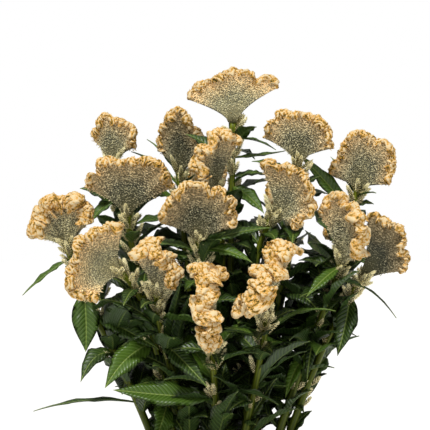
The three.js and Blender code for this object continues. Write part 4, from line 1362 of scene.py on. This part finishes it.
def young_leaves(plant, rng):
    """The young leaves of a stem, each shortened to stay inside the bush."""
    line = plant["line"]
    rear = at_rear(plant["crest"])
    first, _, last = YOUNG["places"]
    step = YOUNG["rear_pitch" if rear else "pitch"] / line_length(line, YOUNG["ruler_steps"])
    leaves = []
    for k, t in enumerate(np.arange(first, last, step)):
        size = np.interp(t, YOUNG["places"], YOUNG["sizes"]) * rng.uniform(*YOUNG["scales"])
        size = size * (YOUNG["rear"] if rear else 1)
        azimuth = k * GOLDEN_ANGLE + rng.uniform(*YOUNG["turns"])
        base = bezier(line, t)[0]
        reach = reach_of(size, azimuth, math.radians(rng.uniform(*YOUNG["climbs"])))
        size, reach = (part * inner_share(base, reach) for part in (size, reach))
        if size < YOUNG["least"]:
            continue
        leaves.append({
            "base": base, "tip": base + reach, "width": size * YOUNG["slenderness"],
            "arch": size * YOUNG["arch"], "roll": math.radians(rng.uniform(*YOUNG["rolls"])),
        })
    return leaves


def leaf_tone(leaf, rng):
    """Painted light: leaves are lighter and yellower up where the sun reaches them and in the open,
    and darker as painted shade low in the bush.
    """
    height = (leaf["tip"][2] - TONE["from"]) / TONE["over"]
    tone = TONE["least"] + TONE["rise"] * height + leaf.get("light", 0)
    return float(np.clip(tone + rng.normal(0, TONE["spread"]), 0, 1))


LEAF_GREEN = leaf_material()
foliage = []
for plant in plants:
    rng = np.random.default_rng(SEEDS["leaves"] + plant["index"])
    leaves = plant["leaves"] + young_leaves(plant, rng)
    leaves = [{**leaf, "tone": leaf_tone(leaf, rng)} for leaf in leaves]
    blades = [blade_part(leaf, rng) for leaf in leaves]
    piece = make_mesh(f"leaves_{plant['name']}", blades, LEAF_GREEN)
    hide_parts(f"stem_{plant['name']}")
    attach(piece, "root")
    foliage.append(piece)
print("leaf triangles:", count_triangles(foliage))

# %% [markdown]
# ## Flower spikes
#
# Below each crest stand small side flowers that didn't fold: plain bristly spikes. Each one is
# a core with florets round it in the order of a pine cone, a golden angle apart. The solids
# hold one or two to a stem, and the photo shows whole clusters, so more are added round the neck,
# in the axils of leaves and up the stem.

# %% Flower spikes
# Round the neck, up the stem and in the axils: where they stand, how far they lean and stand out
# of the stem's centre line, and how long and thick they are
CLUSTER = {
    "count": 20, "rear_count": 12, "lowest": 0.74, "highest": 0.995, "crowded": 1.5, "stray": 0.6,
    "leans": (0.35, 1.1), "out": 2, "lengths": (10, 22), "radius": 3.1,
}
SIDE = {
    "count": 4, "places": (0.25, 0.8), "leans": (0.5, 1.1), "out": 3, "lengths": (10, 18),
    "radius": 2.8,
}
AXIL = {"above": 0.35, "share": 0.6, "lean": 0.7, "out": 3, "lengths": (8, 15), "radius": 1.9}
# The glow of 1.5 makes the bristles paler: partly their own cream colour and partly painted light
# on spikes that stand in shade below the crests
BRISTLE = {
    "per_mm": 3.4, "length": 2.7, "lengths": (0.75, 1.15), "width": 1.8, "widths": (0.8, 1.2),
    "lift": 1.7, "lean": 0.12, "sunk": 0.3, "inset": 0.45, "tones": (0.5, 1.4), "glow": 1.5,
    "lift_ends": 1.1, "rim": 0.3, "spindle": (0.12, 0.8),
}
# As for florets, the dark foot of each bristle is painted shade between the bristles
BRISTLE_SHADING = np.array([0.15, 0.15, 0.9, 1.2])
CORE = {"rings": 6, "sides": 6, "girth": 0.55, "spindle": (0.1, 0.85)}
# The core shows between the bristles and is painted dark there as shade
CORE_SHADE = {"rim": 0.1, "crease": 0.0, "tone": 0.0, "glow": 0.6}


def spike_on(plant, t, azimuth, kind, rng):
    """A spike at t of a stem's line that points up along it and out to the azimuth."""
    out = np.array([math.cos(azimuth), math.sin(azimuth), 0.1])
    along = unit(bezier_tangent(plant["line"], t)[0] + out * rng.uniform(*kind["leans"]))
    base = bezier(plant["line"], t)[0] + out * kind["out"]
    length = rng.uniform(*kind["lengths"])
    return {"base": base, "along": along, "length": length, "radius": kind["radius"]}


def cluster_spikes(plant, rng):
    """Spikes that hug the neck of a stem."""
    spikes = []
    for k in range(CLUSTER["rear_count" if at_rear(plant["crest"]) else "count"]):
        down = rng.uniform() ** CLUSTER["crowded"]
        t = blend_between(CLUSTER["highest"], CLUSTER["lowest"], down)
        azimuth = k * GOLDEN_ANGLE + rng.uniform(0, CLUSTER["stray"])
        spikes.append(spike_on(plant, t, azimuth, CLUSTER, rng))
    return spikes


def side_spikes(plant, rng):
    """Small spikes up the stem, on side shoots too short to be seen."""
    places = rng.uniform(*SIDE["places"], SIDE["count"])
    return [spike_on(plant, t, rng.uniform(0, 2 * math.pi), SIDE, rng) for t in places]


def axil_spikes(plant, rng):
    """A small spike in the axil of some of the leaves."""
    spikes = []
    for leaf in plant["leaves"]:
        if leaf["at"] > AXIL["above"] and rng.uniform() < AXIL["share"]:
            out = unit(leaf["tip"] - leaf["base"])
            spikes.append({
                "base": leaf["base"] + out * AXIL["out"], "radius": AXIL["radius"],
                "along": unit(bezier_tangent(plant["line"], leaf["at"])[0] + AXIL["lean"] * out),
                "length": rng.uniform(*AXIL["lengths"]),
            })
    return spikes


def spindle(share, start, span):
    """Girth of a spindle at a share of its length: sin(pi (start + span share))^0.7."""
    return np.sin(math.pi * (start + span * share)) ** 0.7


def bristles(spike, side, over, rng):
    """The florets of a spike: floret i is turned by i golden angles and stands at its share of
    the length. They lean out less and less towards the tip."""
    along = spike["along"]
    count = int(spike["length"] * BRISTLE["per_mm"])
    share = (np.arange(count) + 0.5) / count
    out = turned_to(np.arange(count) * GOLDEN_ANGLE, side, over)
    girth = spike["radius"] * spindle(share, *BRISTLE["spindle"])
    base = spike["base"] + along * (share * spike["length"])[:, None]
    base = base + out * girth[:, None] * BRISTLE["inset"]
    lift = out * (BRISTLE["lift"] * (BRISTLE["lift_ends"] - share))[:, None]
    lean = unit(along + lift + rng.normal(0, BRISTLE["lean"], (count, 3)))
    length = BRISTLE["length"] * rng.uniform(*BRISTLE["lengths"], count)
    width = BRISTLE["width"] * rng.uniform(*BRISTLE["widths"], count)
    points, faces = pyramids(base, lean, out, length, width, BRISTLE["sunk"])
    tone = rng.uniform(*BRISTLE["tones"], count)
    values = floret_values(BRISTLE["rim"] * share, tone, BRISTLE_SHADING, BRISTLE["glow"])
    return {"points": points, "faces": faces, "values": values, "smooth": False}


def spike_parts(spike, rng):
    """The core of a spike, a spindle, and the florets round it."""
    side, over = (row[0] for row in ring_frames(spike["along"][None]))
    t = np.linspace(0, 1, CORE["rings"])[:, None, None]
    girth = spike["radius"] * CORE["girth"] * spindle(t, *CORE["spindle"])
    core = spike["base"] + spike["along"] * spike["length"] * t
    core = core + girth * turned_to(round_angles(CORE["sides"]), side, over)
    shades = {key: np.full(core[..., 0].size, value) for key, value in CORE_SHADE.items()}
    return [tube_part(core, shades), bristles(spike, side, over, rng)]


spikes = []
for plant in plants:
    rng = np.random.default_rng(SEEDS["spikes"] + plant["index"])
    here = plant["spikes"]
    for kind in (cluster_spikes, axil_spikes, side_spikes):
        here = here + kind(plant, rng)
    parts = [part for spike in here for part in spike_parts(spike, rng)]
    piece = make_mesh(f"spikes_{plant['name']}", parts, CREST_VELVET)
    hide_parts(f"stem_{plant['name']}")
    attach(piece, "root")
    spikes.append(piece)
print("spike triangles:", count_triangles(spikes))

# %% [markdown]
# ## The pot
#
# A plain clay pot is turned on a wheel, so its surface is a profile spun round the Z axis. The
# profile is the solid's own, with its corners rounded off by small arcs, and many more sides. The
# three drain holes are cut by a Boolean modifier, which is applied at once.

# %% The pot
POT = {
    "height": 150, "rim": 95, "foot": 64, "wall": 6, "floor": 9, "collar": 30, "collar_flare": 1.2,
    "under_collar": 4.8, "round": 1.8, "sides": 128, "drains": 3, "drain_radius": 5,
    "drain_ring": 34, "drill": (-5, 20), "drill_sides": 24, "axis": 0.01,
}
POT_COLOURS = palette(clay="b4643c", burnt="8f4a2c", bloom="d3a488")


def pot_inner_radius(z):
    """Inside radius of the pot, whose wall tapers from the rim to the floor."""
    rise = (z - POT["floor"]) / (POT["height"] - POT["floor"])
    return blend_between(POT["foot"], POT["rim"], rise) - POT["wall"]


def rounded(profile, radius, steps=4):
    """A profile with an arc in place of each inner corner: a Bezier curve from one side of the
    corner to the other, with the corner itself as its middle control point."""
    points = np.array(profile, float)
    out = [points[:1]]
    for before, corner, after in zip(points, points[1:], points[2:]):
        start = corner + unit(before - corner) * min(radius, np.linalg.norm(before - corner) / 3)
        end = corner + unit(after - corner) * min(radius, np.linalg.norm(after - corner) / 3)
        out.append(bezier([start, corner, end], np.linspace(0, 1, steps)))
    out.append(points[-1:])
    return np.concatenate(out)


def turned_part(profile, sides):
    """A profile of radius and height pairs spun round Z. Its ends on the axis are tiny rings."""
    return tube_part(rings_round(np.maximum(profile[:, 0], POT["axis"]), profile[:, 1], sides))


def pot_profile():
    """From the middle of the foot, up the outside, over the rim and down to the floor's middle."""
    collar_foot = POT["height"] - POT["collar"]
    inside = [(pot_inner_radius(z), z) for z in (POT["height"], POT["floor"])]
    return rounded([
        (0, 0), (POT["foot"], 0), (POT["rim"] - POT["under_collar"], collar_foot),
        (POT["rim"] - POT["collar_flare"], collar_foot), (POT["rim"], POT["height"]),
        *inside, (0, POT["floor"]),
    ], POT["round"])


# Here grain is a second and finer mottling. Specks are where it is over a value, and the relief is
# this grain with the rings on top.
POT_FINISH = {
    "mottling": (18, 900, 0.25), "grain": (240, 2400, 0.5), "speck_over": 0.62, "specks": 0.5,
    "clay": ((0.35, "burnt"), (0.5, "clay"), (0.68, "bloom")),
    "rings": {"Scale": 55.0, "Distortion": 1.5, "Detail": 2.0}, "ring_relief": 0.35,
    "sockets": {"Roughness": 0.88}, "bump": (0.5, 0.5),
}


def clay_material():
    """Fired clay with burnt specks, a pale bloom and faint rings from the wheel."""
    material, tree, shader = new_tree("terracotta")
    c, finish = POT_COLOURS, POT_FINISH
    share = mottled(tree, *finish["mottling"])
    grain = mottled(tree, *finish["grain"])
    clay = ramp(tree, share, c, finish["clay"])
    specks = math_node(tree, "GREATER_THAN", grain, finish["speck_over"])
    specks = math_node(tree, "MULTIPLY", specks, finish["specks"])
    tree.links.new(mix_colours(tree, specks, clay, c["burnt"]), shader.inputs["Base Color"])
    place = add_node(tree, "ShaderNodeTexCoord").outputs["Object"]
    values = {"Vector": place, **finish["rings"]}
    rings = add_node(tree, "ShaderNodeTexWave", values, bands_direction="Z").outputs["Fac"]
    height = math_node(tree, "MULTIPLY_ADD", rings, finish["ring_relief"], grain)
    set_sockets(shader, finish["sockets"])
    add_bump(tree, shader, height, *finish["bump"])
    return material


def drain_drills():
    """The rods that the drain holes are cut with, upright and round the middle of the floor."""
    low, high = POT["drill"]
    radius = POT["drain_radius"]
    rod = np.array([(0, low), (radius, low), (radius, high), (0, high)], float)
    drills = []
    for turn in round_angles(POT["drains"]):
        part = turned_part(rod, POT["drill_sides"])
        centre = POT["drain_ring"] * np.array([math.cos(turn), math.sin(turn), 0])
        part["points"] = part["points"] + centre
        drills.append(part)
    return drills


def build_pot():
    """The turned pot with its drain holes."""
    pot = make_mesh("clay_pot", [turned_part(pot_profile(), POT["sides"])], clay_material())
    drill = make_mesh("drill", drain_drills(), pot.data.materials[0], smooth=False)
    cut = pot.modifiers.new("drain_holes", "BOOLEAN")
    cut.object = drill
    cut.operation = "DIFFERENCE"
    bpy.context.view_layer.update()
    done = bpy.data.meshes.new_from_object(pot.evaluated_get(bpy.context.evaluated_depsgraph_get()))
    pot.modifiers.clear()
    pot.data = done
    bpy.data.objects.remove(drill)
    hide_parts("pot")
    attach(pot, "root")
    return pot


pot = build_pot()
print("pot triangles:", count_triangles([pot]))

# %% [markdown]
# ## The soil
#
# The soil is a crowned disc in the pot with crumbs on it. Its top is a grid of rings whose height
# wanders by sums of sines, and the crumbs are small lumps of eight faces, spread by the golden
# ratio as the florets are.

# %% The soil
SOIL = {
    "crown": 3, "rough": 1.1, "rings": 40, "sides": 120, "crumbs": 1500, "largest": 2.6,
    "margin": 3, "sizes": (0.25, 1), "few_large": 1.6, "corners": (0.5, 1), "crookedness": 0.15,
    "flatness": 0.75, "raised": 0.2, "middle": 0.002, "foot_middle": 0.1,
}
SOIL_COLOURS = palette(wet="1d1510", dry="4b3a2b", bark="6b5038")
SOIL_FINISH = {
    "mottling": (120, 1400, 0.55), "mix": ((0.38, "wet"), (0.55, "dry"), (0.72, "bark")),
    "sockets": {"Roughness": 0.95}, "bump": (1.0, 1.6),
}


def soil_material():
    """Dark soil with drier crumbs and bits of bark."""
    material, tree, shader = new_tree("potting_soil")
    finish = SOIL_FINISH
    share = mottled(tree, *finish["mottling"])
    colour = ramp(tree, share, SOIL_COLOURS, finish["mix"])
    tree.links.new(colour, shader.inputs["Base Color"])
    set_sockets(shader, finish["sockets"])
    add_bump(tree, shader, share, *finish["bump"])
    return material


def soil_height(x, y):
    """Height of the soil: a crown that falls to the edge, and crossing sines for its lumps."""
    edge = pot_inner_radius(SOIL_TOP) - GAP
    crown = SOIL["crown"] * (1 - (x ** 2 + y ** 2) / edge ** 2)
    lumps = np.sin(0.31 * x + 0.17 * y) + np.sin(0.23 * y - 0.29 * x + 1)
    lumps = lumps + np.sin(0.71 * x) * np.sin(0.63 * y)
    return SOIL_TOP + crown + SOIL["rough"] * (lumps / 3 - 0.6)


def soil_body():
    """Rings from the middle of the underside, out to the wall and back in over the top."""
    bottom = POT["floor"] + GAP
    foot = (SOIL["foot_middle"], pot_inner_radius(bottom) - GAP)
    base = rings_round(foot, (bottom, bottom), SOIL["sides"])
    shares = np.linspace(1, SOIL["middle"], SOIL["rings"])
    top = rings_round((pot_inner_radius(SOIL_TOP) - GAP) * shares, 0 * shares, SOIL["sides"])
    top[..., 2] = soil_height(top[..., 0], top[..., 1])
    return tube_part(np.concatenate([base, top]))


def soil_crumbs(rng):
    """Crumbs: octahedra, each stretched and turned by its own draw."""
    count = SOIL["crumbs"]
    i = np.arange(count)
    reach = (pot_inner_radius(SOIL_TOP) - SOIL["margin"]) * np.sqrt((i + 0.5) / count)
    x, y = reach * np.cos(i * GOLDEN_ANGLE), reach * np.sin(i * GOLDEN_ANGLE)
    size = SOIL["largest"] * rng.uniform(*SOIL["sizes"], count) ** SOIL["few_large"]
    centre = np.stack([x, y, soil_height(x, y) + SOIL["raised"] * size], -1)
    size = size[:, None, None]
    corners = np.array([(1, 0, 0), (-1, 0, 0), (0, 1, 0), (0, -1, 0), (0, 0, 1), (0, 0, -1)], float)
    shape = corners[None] * rng.uniform(*SOIL["corners"], (count, 6, 1)) * size
    shape = shape + rng.normal(0, SOIL["crookedness"], (count, 6, 3)) * size
    points = (centre[:, None] + shape * np.array([1, 1, SOIL["flatness"]])).reshape(-1, 3)
    upper = [[4, 0, 2], [4, 2, 1], [4, 1, 3], [4, 3, 0]]
    lower = [[5, 2, 0], [5, 1, 2], [5, 3, 1], [5, 0, 3]]
    faces = (i[:, None, None] * 6 + np.array(upper + lower)[None]).reshape(-1, 3)
    return {"points": points, "faces": faces, "values": {}, "smooth": False}


soil_parts = [soil_body(), soil_crumbs(np.random.default_rng(SEEDS["soil"]))]
soil = make_mesh("soil_bed", soil_parts, soil_material())
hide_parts("soil")
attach(soil, "root")
print("soil triangles:", count_triangles([soil]))

# %% [markdown]
# ## The floor
#
# The plant stands on a plain pale disc, wide enough for its shadow. It is stage, so it is rendered
# but isn't part of the object.

# %% The floor
FLOOR_COLOUR = hexed("f4f3f0")
FLOOR_SIDES = 96
FLOOR_RINGS = (0.001, 1)


def add_floor():
    """The disc: one band of faces from its edge to a tiny ring in the middle."""
    material, _, shader = new_tree("pale_floor")
    shader.inputs["Base Color"].default_value = FLOOR_COLOUR
    shader.inputs["Roughness"].default_value = 0.9
    rings = rings_round(FLOOR_RINGS, (0, 0), FLOOR_SIDES) * FLOOR_RADIUS / MM
    faces = tube_faces(len(FLOOR_RINGS), FLOOR_SIDES)[:, ::-1]
    part = {"points": rings.reshape(-1, 3), "faces": faces, "values": {}}
    floor = make_mesh("floor", [part], material)
    return floor


print("made", add_floor().name)
